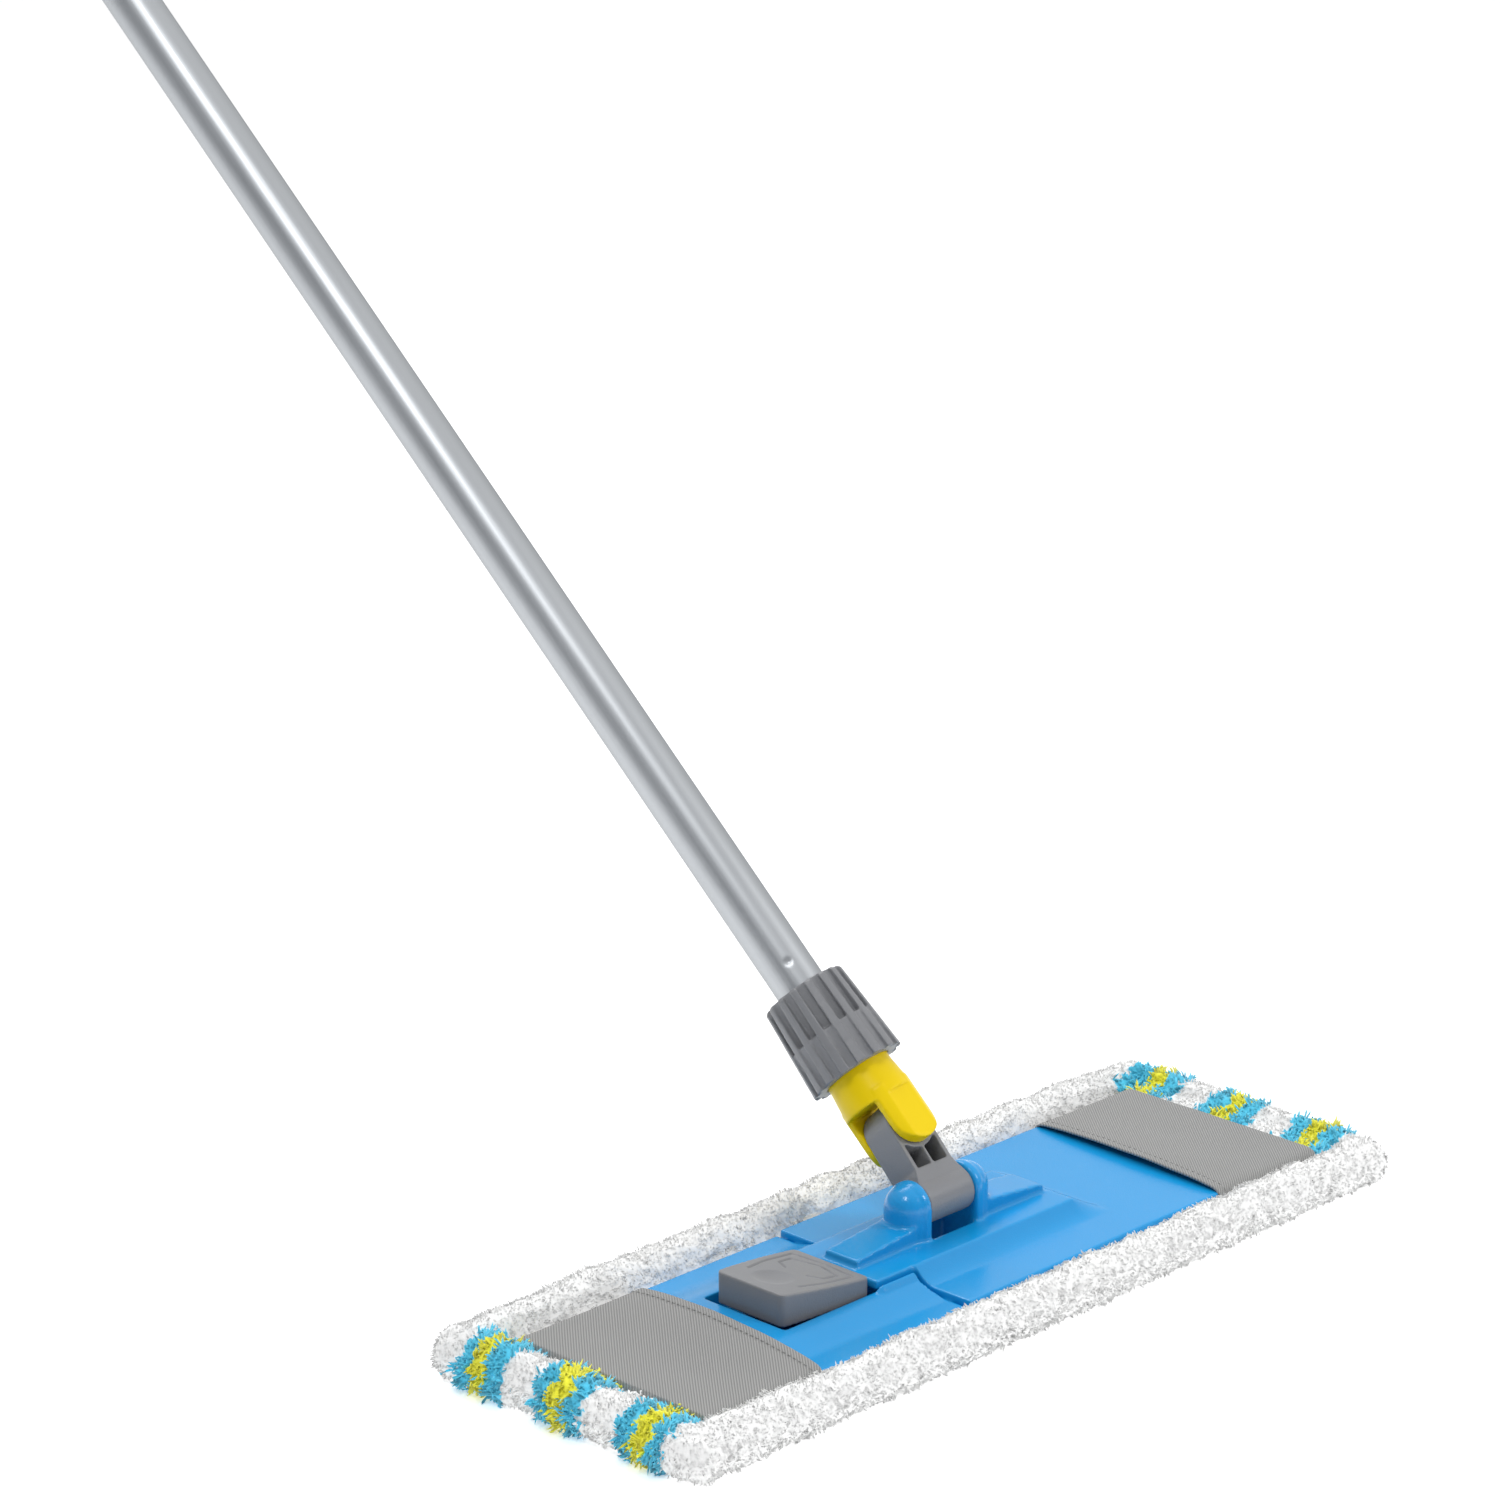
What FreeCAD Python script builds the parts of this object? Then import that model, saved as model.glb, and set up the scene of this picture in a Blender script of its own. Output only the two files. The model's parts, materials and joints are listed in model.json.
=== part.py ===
import FreeCAD, Part
import Sketcher
import os
import re

# Flat mop with a folding two-wing holder, a swivelling handle and a slip-on pad.
# Frame: X along the holder, +Y to the back, +Z up.
# The origin is on the floor, straight below the middle of the clevis.

DIMENSIONS = {
    # holder: two flat wings that meet at a seam
    "holder_width": 105.0,
    "plate_bottom": 8.5,
    "right_top": 17.0,
    "left_top": 15.0,
    "wing_end": 182.0,
    "seam_place": -38.5,
    "seam_gap": 1.5,
    "corner_radius": 9.0,
    "top_skin": 3.2,
    "rib_thickness": 2.4,
    "rim_thickness": 6.0,
    "right_cells_start": 66.0,
    "right_cells_end": 174.0,
    "left_cells_start": -176.0,
    "left_cells_end": -116.0,
    # raised spine on the right wing and its tongue over the left wing
    "spine_top": 23.5,
    "spine_half": 22.5,
    "spine_foot_half": 30.0,
    "spine_end": 60.0,
    "spine_run_out": 14.0,
    "spine_wall": 3.0,
    "hollow_start": -28.0,
    "hollow_end": 56.0,
    "tongue_end": -60.5,
    "tongue_under": 19.4,
    "tongue_gap": 0.9,
    "notch_depth": 1.6,
    "notch_low": 20.6,
    "notch_high": 22.6,
    "notch_half": 12.0,
    # raised island of the left wing around the pedal
    "island_top": 19.3,
    "island_half": 26.5,
    "island_foot_half": 34.0,
    "island_end": -125.0,
    "island_run_out": 16.0,
    # clevis
    "clevis_height": 36.3,
    "ear_gap": 27.4,
    "ear_thickness": 3.7,
    "ear_radius": 10.5,
    "dome_radius": 9.8,
    "wedge_end": 57.0,
    "wedge_half": 8.8,
    "wedge_low": 27.0,
    "wedge_high": 31.5,
    "window_half": 9.0,
    "window_frame": 3.0,
    "clevis_pin_half": 22.5,
    # fold hinge below the seam
    "hinge_height": 10.9,
    "knuckle_radius": 2.4,
    "relief_radius": 2.75,
    "fold_pin_radius": 1.0,
    "knuckle_length": 5.6,
    "knuckle_first": 26.0,
    "knuckle_pitch": 6.0,
    "knuckle_web": 5.0,
    "knuckle_web_half": 0.9,
    "fold_gap_half": 2.3,
    "fold_gap_top": 9.6,
    # pedal
    "pedal_left": -110.0,
    "pedal_right": -62.2,
    "pedal_half_left": 18.0,
    "pedal_half_middle": 20.5,
    "pedal_half_right": 20.8,
    "pedal_top_left": 31.4,
    "pedal_top_right": 25.5,
    "pedal_skirt_low": 17.6,
    "pedal_wall": 2.2,
    "pedal_corner_radius": 3.0,
    "dish_radius": 34.0,
    "dish_place": -92.0,
    "dish_depth": 3.0,
    "nose_reach": 3.0,
    "nose_gap": 0.35,
    "opening_left": -112.8,
    "opening_half": 22.4,
    "tray_top": 10.8,
    "pivot_place": -72.0,
    "pivot_height": 14.6,
    "pivot_pin_radius": 1.5,
    "pivot_ear_place": 11.0,
    "pivot_ear_thickness": 2.5,
    "pivot_boss_thickness": 3.0,
    "pivot_boss_gap": 0.3,
    "pivot_boss_radius": 3.0,
    "spring_place": -99.0,
    "spring_radius": 4.0,
    "spring_wire": 0.5,
    "spring_pitch": 2.7,
    "spring_turns": 5.0,
    # link between the two swivel axes
    "link_lean": 44.2,
    "link_length": 32.0,
    "link_width": 22.0,
    "link_thickness": 16.5,
    "barrel_radius": 9.5,
    "barrel_length": 26.8,
    "flare_low": 4.0,
    "flare_high": 11.0,
    "fork_pin_half": 12.9,
    "swivel_pin_radius": 3.0,
    "running_fit": 0.06,
    "core_depth": 12.0,
    "core_low": 11.5,
    "core_half": 8.9,
    "core_rib": 1.5,
    "core_arc_radius": 12.6,
    # fork
    "fork_tilt": 4.4,
    "neck_radius": 14.5,
    "cheek_width": 22.0,
    "cheek_gap": 17.2,
    "cheek_bevel_radius": 16.0,
    "slot_end": 12.6,
    "neck_start": 13.0,
    "neck_flare_end": 26.0,
    "neck_end": 34.0,
    "stub_radius": 13.2,
    "stub_end": 62.0,
    "socket_start": 40.0,
    "slit_width": 1.6,
    # locking collar
    "collar_low": 28.5,
    "collar_high": 69.5,
    "collar_radius_low": 21.4,
    "collar_radius_high": 18.8,
    "collar_step": 48.0,
    "collar_ribs": 16.0,
    "groove_width": 4.0,
    "groove_deep": 2.6,
    "groove_shallow": 1.5,
    "collar_clearance": 0.3,
    "collar_chamfer": 1.2,
    # handle
    "tube_radius": 11.0,
    "tube_wall": 1.0,
    "tube_start": 41.0,
    "tube_end": 1262.0,
    "plug_wall": 2.5,
    "plug_end": 98.0,
    "cap_radius": 12.4,
    "cap_length": 34.0,
    "cap_taper": 2.5,
    "cap_plug": 26.0,
    "eye_width": 18.0,
    "eye_thickness": 8.0,
    "eye_radius": 4.0,
    # pad
    "pad_left": -212.0,
    "pad_right": 217.0,
    "pad_front": -73.0,
    "pad_back": 79.0,
    "pile_top": 7.4,
    "pad_top": 8.0,
    "front_roll": 9.5,
    "back_roll": 10.5,
    "strip_left": -52.0,
    "strip_right": -27.0,
    "pocket_inner": 121.0,
    "pocket_outer": 186.0,
    "pocket_cloth": 1.0,
    "pocket_slack": 0.5,
    "mouth_lift": 4.4,
    "mouth_half": 28.5,
    "mouth_foot_half": 38.0,
    "mouth_flat": 6.0,
    "mouth_run_out": 38.0,
}

doc = FreeCAD.newDocument("FlatMop")
sheet = doc.addObject("Spreadsheet::Sheet", "Sizes")
for row, (alias, value) in enumerate(DIMENSIONS.items(), start=1):
    sheet.set(f"A{row}", alias)
    sheet.set(f"B{row}", str(value))
    sheet.setAlias(f"B{row}", alias)
doc.recompute()

NODES = []


def bound(text):
    """Turn the alias words of a formula into references to the sheet."""
    def reference(word):
        return "Sizes." + word.group() if word.group() in DIMENSIONS else word.group()
    return re.sub(r"[a-z_]+", reference, text)


def span(side, near, far):
    """Low and high formulas of a stretch from near to far, mirrored when side is negative."""
    return (near, far) if side > 0 else (f"-({far})", f"-({near})")


def cell(alias):
    return float(getattr(sheet, alias))


def primitive(kind, name, sizes, at=("0", "0", "0"), turn=None):
    """A Part primitive whose sizes and place are formulas of the sheet."""
    item = doc.addObject("Part::" + kind, name)
    if turn:
        axis, angle = turn
        item.Placement = FreeCAD.Placement(FreeCAD.Vector(), FreeCAD.Rotation(FreeCAD.Vector(*axis), angle))
    for size, text in sizes.items():
        item.setExpression(size, bound(text))
    for letter, text in zip("xyz", at):
        item.setExpression("Placement.Base." + letter, bound(text))
    return item


def block(name, low, high):
    """A box between two corners, each a triple of formulas."""
    sizes = {side: f"({high[i]}) - ({low[i]})" for i, side in enumerate(("Length", "Width", "Height"))}
    return primitive("Box", name, sizes, low)


ALONG = {"x": ((0, 1, 0), 90), "y": ((1, 0, 0), -90), "z": None}


def rod(name, along, radius, low, high, at=("0", "0", "0")):
    """A cylinder along one axis, from low to high on that axis."""
    place = list(at)
    place["xyz".index(along)] = low
    sizes = {"Radius": radius, "Height": f"({high}) - ({low})"}
    return primitive("Cylinder", name, sizes, place, ALONG[along])


def ridge(name, foot, crest, low, high):
    """A block with sloping sides between two heights; foot and crest are (x low, x high, half width)."""
    sizes = {
        "Xmin": foot[0], "Xmax": foot[1], "Zmin": f"-({foot[2]})", "Zmax": foot[2],
        "X2min": crest[0], "X2max": crest[1], "Z2min": f"-({crest[2]})", "Z2max": crest[2],
        "Ymin": low, "Ymax": high,
    }
    return primitive("Wedge", name, sizes, turn=((1, 0, 0), 90))


def fuse(name, *items):
    joined = doc.addObject("Part::MultiFuse", name)
    joined.Shapes = list(items)
    joined.Refine = True
    return joined


def cut(name, base, *tools):
    result = doc.addObject("Part::Cut", name)
    result.Base = base
    result.Tool = tools[0] if len(tools) == 1 else fuse(name + "Tools", *tools)
    result.Refine = True
    return result


def common(name, *items):
    shared = doc.addObject("Part::MultiCommon", name)
    shared.Shapes = list(items)
    return shared


def rounded(name, base, radius, wanted):
    """Fillet the edges for which wanted(edge) is true."""
    doc.recompute()
    numbers = [i for i, edge in enumerate(base.Shape.Edges, start=1) if wanted(edge)]
    fillet = doc.addObject("Part::Fillet", name)
    fillet.Base = base
    fillet.Edges = [(number, radius, radius) for number in numbers]
    return fillet


def upright(edge):
    """True for a straight edge along Z."""
    box = edge.BoundBox
    return max(box.XLength, box.YLength) < 0.01 < box.ZLength


def node(item, label, placement=None):
    """Name a finished sub-part and put it where it belongs."""
    item.Label = label
    if placement is not None:
        item.Placement = placement
    NODES.append(item)


# ---------------------------------------------------------------- placements

LINK_TURN = FreeCAD.Rotation(FreeCAD.Vector(1, 0, 0), -cell("link_lean"))
LINK_PLACE = FreeCAD.Placement(FreeCAD.Vector(0, 0, cell("clevis_height")), LINK_TURN)
FORK_TURN = LINK_TURN.multiply(FreeCAD.Rotation(FreeCAD.Vector(0, 1, 0), -cell("fork_tilt")))
FORK_PLACE = FreeCAD.Placement(LINK_PLACE.multVec(FreeCAD.Vector(0, 0, cell("link_length"))), FORK_TURN)


# ---------------------------------------------------------------- fold hinge

def knuckles(side, first):
    """Hinge barrels of one wing, with their webs; side is -1 for the left wing, +1 for the right."""
    items = []
    wing = "Right" if side > 0 else "Left"
    for row, sign in (("Front", -1), ("Back", 1)):
        for turn in (0, 1):
            start = f"knuckle_first + {first + 2 * turn} * knuckle_pitch"
            low, high = span(sign, start, f"{start} + knuckle_length")
            name = f"{wing}Knuckle{row}{turn}"
            barrel = rod(name, "y", "knuckle_radius", low, high, ("seam_place", "0", "hinge_height"))
            reach = span(side, "0", "knuckle_web")
            web = block(name + "Web", (f"seam_place + {reach[0]}", low, "hinge_height - knuckle_web_half"),
                        (f"seam_place + {reach[1]}", high, "hinge_height + knuckle_web_half"))
            items += [barrel, web]
    return items


def pin_bores(name, radius):
    """Bores for the two fold pins, each one through the knuckles of its row."""
    place = ("seam_place", "0", "hinge_height")
    bores = []
    for row, sign in (("Front", -1), ("Back", 1)):
        low, high = span(sign, "knuckle_first - 1", "knuckle_first + 4 * knuckle_pitch")
        bores.append(rod(f"{name}{row}Bore", "y", radius, low, high, place))
    return bores


def hinge_relief(name):
    """Room round the knuckles, and below them the gap that lets the wings fold."""
    low, high = "-holder_width / 2 - 1", "holder_width / 2 + 1"
    round_room = rod(name + "Round", "y", "relief_radius", low, high, ("seam_place", "0", "hinge_height"))
    gap = block(name + "Gap", ("seam_place - fold_gap_half", low, "plate_bottom - 1"),
                ("seam_place + fold_gap_half", high, "fold_gap_top"))
    return fuse(name, round_room, gap)


def underside_cells(wing, start, stop, along, across, roof):
    """Open cells below a plate, which leave a grid of ribs; start and stop are places along X."""
    items = []
    half = "(holder_width / 2 - rim_thickness)"
    for i in range(along):
        x_low = f"{start} + ({stop} - {start}) * {i} / {along} + rib_thickness / 2"
        x_high = f"{start} + ({stop} - {start}) * {i + 1} / {along} - rib_thickness / 2"
        for j in range(across):
            y_low = f"-{half} + 2 * {half} * {j} / {across} + rib_thickness / 2"
            y_high = f"-{half} + 2 * {half} * {j + 1} / {across} - rib_thickness / 2"
            low, high = (x_low, y_low, "plate_bottom - 1"), (x_high, y_high, roof)
            items.append(block(f"{wing}Cell{i}{j}", low, high))
    return items


# ---------------------------------------------------------------- right wing

def plate(name, low, high, top, outer_is_high):
    """Flat plate of one wing with its two outer corners rounded."""
    slab = block(name + "Slab", (low, "-holder_width / 2", "plate_bottom"), (high, "holder_width / 2", top))

    def outer_corner(edge):
        middle = slab.Shape.BoundBox.Center.x
        return upright(edge) and (edge.CenterOfMass.x > middle) == outer_is_high
    return rounded(name + "Plate", slab, cell("corner_radius"), outer_corner)


def clevis(side):
    """One ear with its outer dome and the long wedge that stiffens it."""
    name = "RightEar" if side > 0 else "LeftEar"
    inner, outer = "ear_gap / 2", "ear_gap / 2 + ear_thickness"
    low, high = span(side, inner, outer)
    ear = block(name + "Web", (low, "-ear_radius", "spine_top - 1"), (high, "ear_radius", "clevis_height"))
    crown = rod(name + "Crown", "x", "ear_radius", low, high, ("0", "0", "clevis_height"))
    centre = outer if side > 0 else f"-({outer})"
    ball = primitive("Sphere", name + "Ball", {"Radius": "dome_radius"}, (centre, "0", "clevis_height"))
    edge = "dome_radius + 1"
    outside = span(side, outer, f"{outer} + {edge}")
    keep = block(name + "Keep", (outside[0], f"-({edge})", "spine_top - 1"),
                 (outside[1], edge, f"clevis_height + {edge}"))
    dome = common(name + "Dome", ball, keep)
    post = rod(name + "Post", "z", "dome_radius", "spine_top - 1", "clevis_height", (centre, "0", "0"))
    column = common(name + "Column", post, keep)
    sizes = {
        "Xmin": "-wedge_half", "Xmax": "wedge_half", "Zmin": "spine_top - 1", "Zmax": "wedge_high",
        "X2min": "-wedge_half", "X2max": "wedge_half", "Z2min": "spine_top - 1", "Z2max": "wedge_low",
        "Ymin": inner, "Ymax": "wedge_end",
    }
    wedge = primitive("Wedge", name + "Wedge", sizes, turn=((0, 0, 1), -90 * side))
    return [ear, crown, dome, column, wedge]


def right_wing():
    base = plate("Right", "seam_place + seam_gap / 2", "wing_end", "right_top", True)
    spine = ridge("Spine", ("seam_place + seam_gap / 2", "spine_end + spine_run_out", "spine_foot_half"),
                  ("seam_place + seam_gap / 2", "spine_end", "spine_half"), "right_top - 0.5", "spine_top")
    tongue = block("Tongue", ("tongue_end", "-spine_half", "tongue_under"),
                   ("seam_place + spine_wall", "spine_half", "spine_top"))
    solid = fuse("RightSolid", base, spine, tongue, *clevis(-1), *clevis(1))
    window = block("BarrelWindow", ("-ear_gap / 2", "-window_half", "0"),
                   ("ear_gap / 2", "window_half", "clevis_height"))
    hollow = block("SpineHollow", ("hollow_start", "-spine_half + spine_wall", "plate_bottom - 1"),
                   ("hollow_end", "spine_half - spine_wall", "spine_top - spine_wall"))
    reach = ("ear_gap / 2 + window_frame", "window_half + window_frame")
    pillar = block("WindowFrame", (f"-({reach[0]})", f"-({reach[1]})", "plate_bottom"),
                   (*reach, "spine_top - 1"))
    notch = block("LatchNotch", ("tongue_end - 1", "-notch_half", "notch_low"),
                  ("tongue_end + notch_depth", "notch_half", "notch_high"))
    bore = rod("ClevisBore", "x", "swivel_pin_radius", "-clevis_pin_half", "clevis_pin_half",
               ("0", "0", "clevis_height"))
    cells = underside_cells("Right", "right_cells_start", "right_cells_end", 3, 3, "right_top - top_skin")
    shell = cut("RightShell", solid, hollow, hinge_relief("RightRelief"), *cells)
    whole = fuse("RightWhole", shell, pillar, *knuckles(1, 0))
    done = cut("RightWing", whole, window, notch, bore, *pin_bores("Right", "fold_pin_radius"))
    node(done, "right_wing")


# ---------------------------------------------------------------- left wing

def left_wing():
    base = plate("Left", "-wing_end", "seam_place - seam_gap / 2", "left_top", False)
    island = ridge("Island", ("island_end - island_run_out", "seam_place - seam_gap / 2", "island_foot_half"),
                   ("island_end", "seam_place - seam_gap / 2", "island_half"), "left_top - 0.5", "island_top")
    shoulder = ridge("Shoulder", ("pedal_right", "seam_place - seam_gap / 2", "spine_foot_half + 1.5"),
                     ("pedal_right + 4", "seam_place - seam_gap / 2", "spine_half + 2.5"), "left_top - 0.5",
                     "spine_top - 2")
    solid = fuse("LeftSolid", base, island, shoulder)
    opening = block("PedalOpening", ("opening_left", "-opening_half", "tray_top"),
                    ("tongue_end + 2.5", "opening_half", "spine_top"))
    slot = block("TongueSlot", ("tongue_end - 1", "-spine_half - tongue_gap", "tongue_under - 1"),
                 ("seam_place", "spine_half + tongue_gap", "spine_top + 1"))
    cells = underside_cells("Left", "left_cells_start", "left_cells_end", 2, 3, "left_top - top_skin")
    shell = cut("LeftShell", solid, opening, slot, hinge_relief("LeftRelief"), *cells)
    bosses = []
    for name, side in (("Front", -1), ("Back", 1)):
        near = "pivot_ear_place + pivot_ear_thickness + pivot_boss_gap"
        low, high = span(side, near, f"{near} + pivot_boss_thickness")
        bosses.append(block(f"Boss{name}", ("pivot_place - pivot_boss_radius", low, "tray_top - 1"),
                            ("pivot_place + pivot_boss_radius", high, "pivot_height")))
        bosses.append(rod(f"BossRound{name}", "y", "pivot_boss_radius", low, high,
                          ("pivot_place", "0", "pivot_height")))
    seat = rod("SpringSeat", "z", "spring_radius - spring_wire - 0.5", "tray_top - 1", "tray_top + 2.5",
               ("spring_place", "0", "0"))
    whole = fuse("LeftWhole", shell, seat, *bosses, *knuckles(-1, 1))
    pivot = rod("PivotBore", "y", "pivot_pin_radius", "-opening_half", "opening_half",
                ("pivot_place", "0", "pivot_height"))
    done = cut("LeftWing", whole, pivot, *pin_bores("Left", "fold_pin_radius + running_fit"))
    node(done, "left_wing")


def hinge_pins():
    """Two steel pins below the seam, one in front and one behind."""
    pins = doc.addObject("Part::Compound", "HingePins")
    far = "knuckle_first + 3 * knuckle_pitch + knuckle_length"
    place = ("seam_place", "0", "hinge_height")
    rows = []
    for row, sign in (("Front", -1), ("Back", 1)):
        rows.append(rod(row + "HingePin", "y", "fold_pin_radius", *span(sign, "knuckle_first", far), place))
    pins.Links = rows
    node(pins, "fold_hinge_pins")


# ---------------------------------------------------------------- pedal

def pedal_outline(inset, height):
    """Closed outline of the pedal: straight ends and slightly bowed long sides."""
    left, right = cell("pedal_left") + inset, cell("pedal_right") - inset
    places = (left, "pedal_half_left"), ((left + right) / 2, "pedal_half_middle"), (right, "pedal_half_right")
    stations = [(x, cell(half) - inset) for x, half in places]
    back = [FreeCAD.Vector(x, half, height) for x, half in stations]
    front = [FreeCAD.Vector(x, -half, height) for x, half in reversed(stations)]
    sides = [Part.Arc(*back), Part.LineSegment(back[-1], front[0]), Part.Arc(*front),
             Part.LineSegment(front[-1], back[0])]
    return Part.Wire([side.toShape() for side in sides])


def pedal_solid(inset, low, roof_drop):
    """Upright block on the outline below a roof that slopes down towards the tongue."""
    margin = 5.0
    half, top_left = cell("pedal_half_right") + margin, cell("pedal_top_left") - roof_drop
    top_right = cell("pedal_top_right") - roof_drop
    left, right = cell("pedal_left"), cell("pedal_right")
    upright_block = Part.Face(pedal_outline(inset, low)).extrude(FreeCAD.Vector(0, 0, top_left - low))
    corners = [(left - margin, 0), (left - margin, top_left), (left + 1, top_left), (right, top_right),
               (right + margin, top_right), (right + margin, 0)]
    side_view = [FreeCAD.Vector(x, -half, z) for x, z in corners + corners[:1]]
    roof = Part.Face(Part.makePolygon(side_view)).extrude(FreeCAD.Vector(0, 2 * half, 0))
    return upright_block.common(roof)


def pedal():
    """Hollow pedal with two pivot ears below and a latch nose that faces the tongue."""
    wall = cell("pedal_wall")
    low = cell("pedal_skirt_low")
    outer = pedal_solid(0, low, 0)
    outer = outer.makeFillet(cell("pedal_corner_radius"), [edge for edge in outer.Edges if upright(edge)])
    dish_height = cell("pedal_top_left") + cell("dish_radius") - cell("dish_depth")
    dish = Part.makeSphere(cell("dish_radius"), FreeCAD.Vector(cell("dish_place"), 0, dish_height))
    shell = outer.cut(pedal_solid(wall, low - 1, wall)).cut(dish)
    pivot = FreeCAD.Vector(cell("pivot_place"), 0, cell("pivot_height"))
    along_y = FreeCAD.Vector(0, 1, 0)
    radius, thick = cell("pivot_boss_radius"), cell("pivot_ear_thickness")
    room = pedal_solid(wall / 2, 0, wall / 2)
    for start in (cell("pivot_ear_place"), -cell("pivot_ear_place") - thick):
        corner = FreeCAD.Vector(pivot.x - radius, start, pivot.z)
        ear = Part.makeBox(2 * radius, thick, cell("pedal_top_left") - pivot.z, corner).common(room)
        tip = Part.makeCylinder(radius, thick, FreeCAD.Vector(pivot.x, start, pivot.z), along_y)
        shell = shell.fuse(ear).fuse(tip)
    slack = 0.4
    nose_half, nose_low = cell("notch_half") - 1, cell("notch_low") + slack
    nose_start = cell("tongue_end") - cell("nose_gap") - cell("nose_reach")
    nose_corner = FreeCAD.Vector(nose_start, -nose_half, nose_low)
    nose = Part.makeBox(cell("nose_reach"), 2 * nose_half, cell("notch_high") - slack - nose_low, nose_corner)
    half = cell("opening_half")
    bore = Part.makeCylinder(cell("pivot_pin_radius") + cell("running_fit"), 2 * half,
                             FreeCAD.Vector(pivot.x, -half, pivot.z), along_y)
    item = doc.addObject("Part::Feature", "Pedal")
    item.Shape = shell.fuse(nose).cut(bore).removeSplitter()
    node(item, "release_pedal")


def pedal_hardware():
    """Pivot pin of the pedal and the coil spring under its high end."""
    reach = "pivot_ear_place + pivot_ear_thickness + pivot_boss_gap + pivot_boss_thickness"
    pin = rod("PedalPin", "y", "pivot_pin_radius", f"-({reach})", reach, ("pivot_place", "0", "pivot_height"))
    node(pin, "pedal_pivot_pin")
    coil = doc.addObject("Part::Helix", "SpringCoil")
    coil.setExpression("Radius", bound("spring_radius - spring_wire"))
    coil.setExpression("Pitch", bound("spring_pitch"))
    coil.setExpression("Height", bound("spring_turns * spring_pitch"))
    coil.setExpression("Placement.Base.x", bound("spring_place"))
    coil.setExpression("Placement.Base.z", bound("tray_top + spring_wire + 0.1"))
    start = ("spring_place + spring_radius - spring_wire", "0", "tray_top + spring_wire + 0.1")
    wire = primitive("Circle", "SpringWire", {"Radius": "spring_wire"}, start, ((1, 0, 0), 90))
    spring = doc.addObject("Part::Sweep", "PedalSpring")
    spring.Sections = [wire]
    spring.Spine = (coil, ["Edge1"])
    spring.Solid = True
    spring.Frenet = True
    node(spring, "pedal_return_spring")


# ---------------------------------------------------------------- link, fork and their pins

def clevis_pin():
    """Steel pin through both ears and the barrel of the link."""
    pin = rod("ClevisPin", "x", "swivel_pin_radius", "-clevis_pin_half", "clevis_pin_half",
              ("0", "0", "clevis_height"))
    node(pin, "clevis_pin")


def link():
    """Short arm: a barrel along X in the clevis, an eye across it inside the fork."""
    barrel = rod("LinkBarrel", "x", "barrel_radius", "-barrel_length / 2", "barrel_length / 2")
    arm = block("LinkArm", ("-link_width / 2", "-link_thickness / 2", "0"),
                ("link_width / 2", "link_thickness / 2", "link_length"))
    eye = rod("LinkEye", "y", "link_width / 2", "-link_thickness / 2", "link_thickness / 2",
              ("0", "0", "link_length"))
    sizes = {
        "Xmin": "-barrel_length / 2", "Xmax": "barrel_length / 2", "Zmin": "-link_thickness / 2",
        "Zmax": "link_thickness / 2", "X2min": "-link_width / 2", "X2max": "link_width / 2",
        "Z2min": "-link_thickness / 2", "Z2max": "link_thickness / 2", "Ymin": "flare_low",
        "Ymax": "flare_high",
    }
    flare = primitive("Wedge", "LinkFlare", sizes, turn=((1, 0, 0), 90))
    solid = fuse("LinkSolid", barrel, arm, eye, flare)
    cores = []
    for name, low, high in (("Left", "-core_half", "-core_rib / 2"), ("Right", "core_rib / 2", "core_half")):
        cores.append(block(f"Core{name}", (low, "-link_thickness / 2 - 1", "core_low"),
                           (high, "-link_thickness / 2 + core_depth", "link_length")))
    round_end = rod("CoreRound", "y", "core_arc_radius", "-link_thickness", "link_thickness",
                    ("0", "0", "link_length"))
    pockets = cut("CorePockets", fuse("Cores", *cores), round_end)
    barrel_bore = rod("BarrelBore", "x", "swivel_pin_radius + running_fit", "-barrel_length", "barrel_length")
    eye_bore = rod("EyeBore", "y", "swivel_pin_radius", "-link_thickness", "link_thickness",
                   ("0", "0", "link_length"))
    node(cut("Link", solid, pockets, barrel_bore, eye_bore), "swivel_link", LINK_PLACE)
    pin = rod("ForkPin", "y", "swivel_pin_radius", "-fork_pin_half", "fork_pin_half",
              ("0", "0", "link_length"))
    placed_pin = doc.addObject("Part::Compound", "ForkPinPlaced")
    placed_pin.Links = [pin]
    node(placed_pin, "fork_pin", LINK_PLACE)


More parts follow.
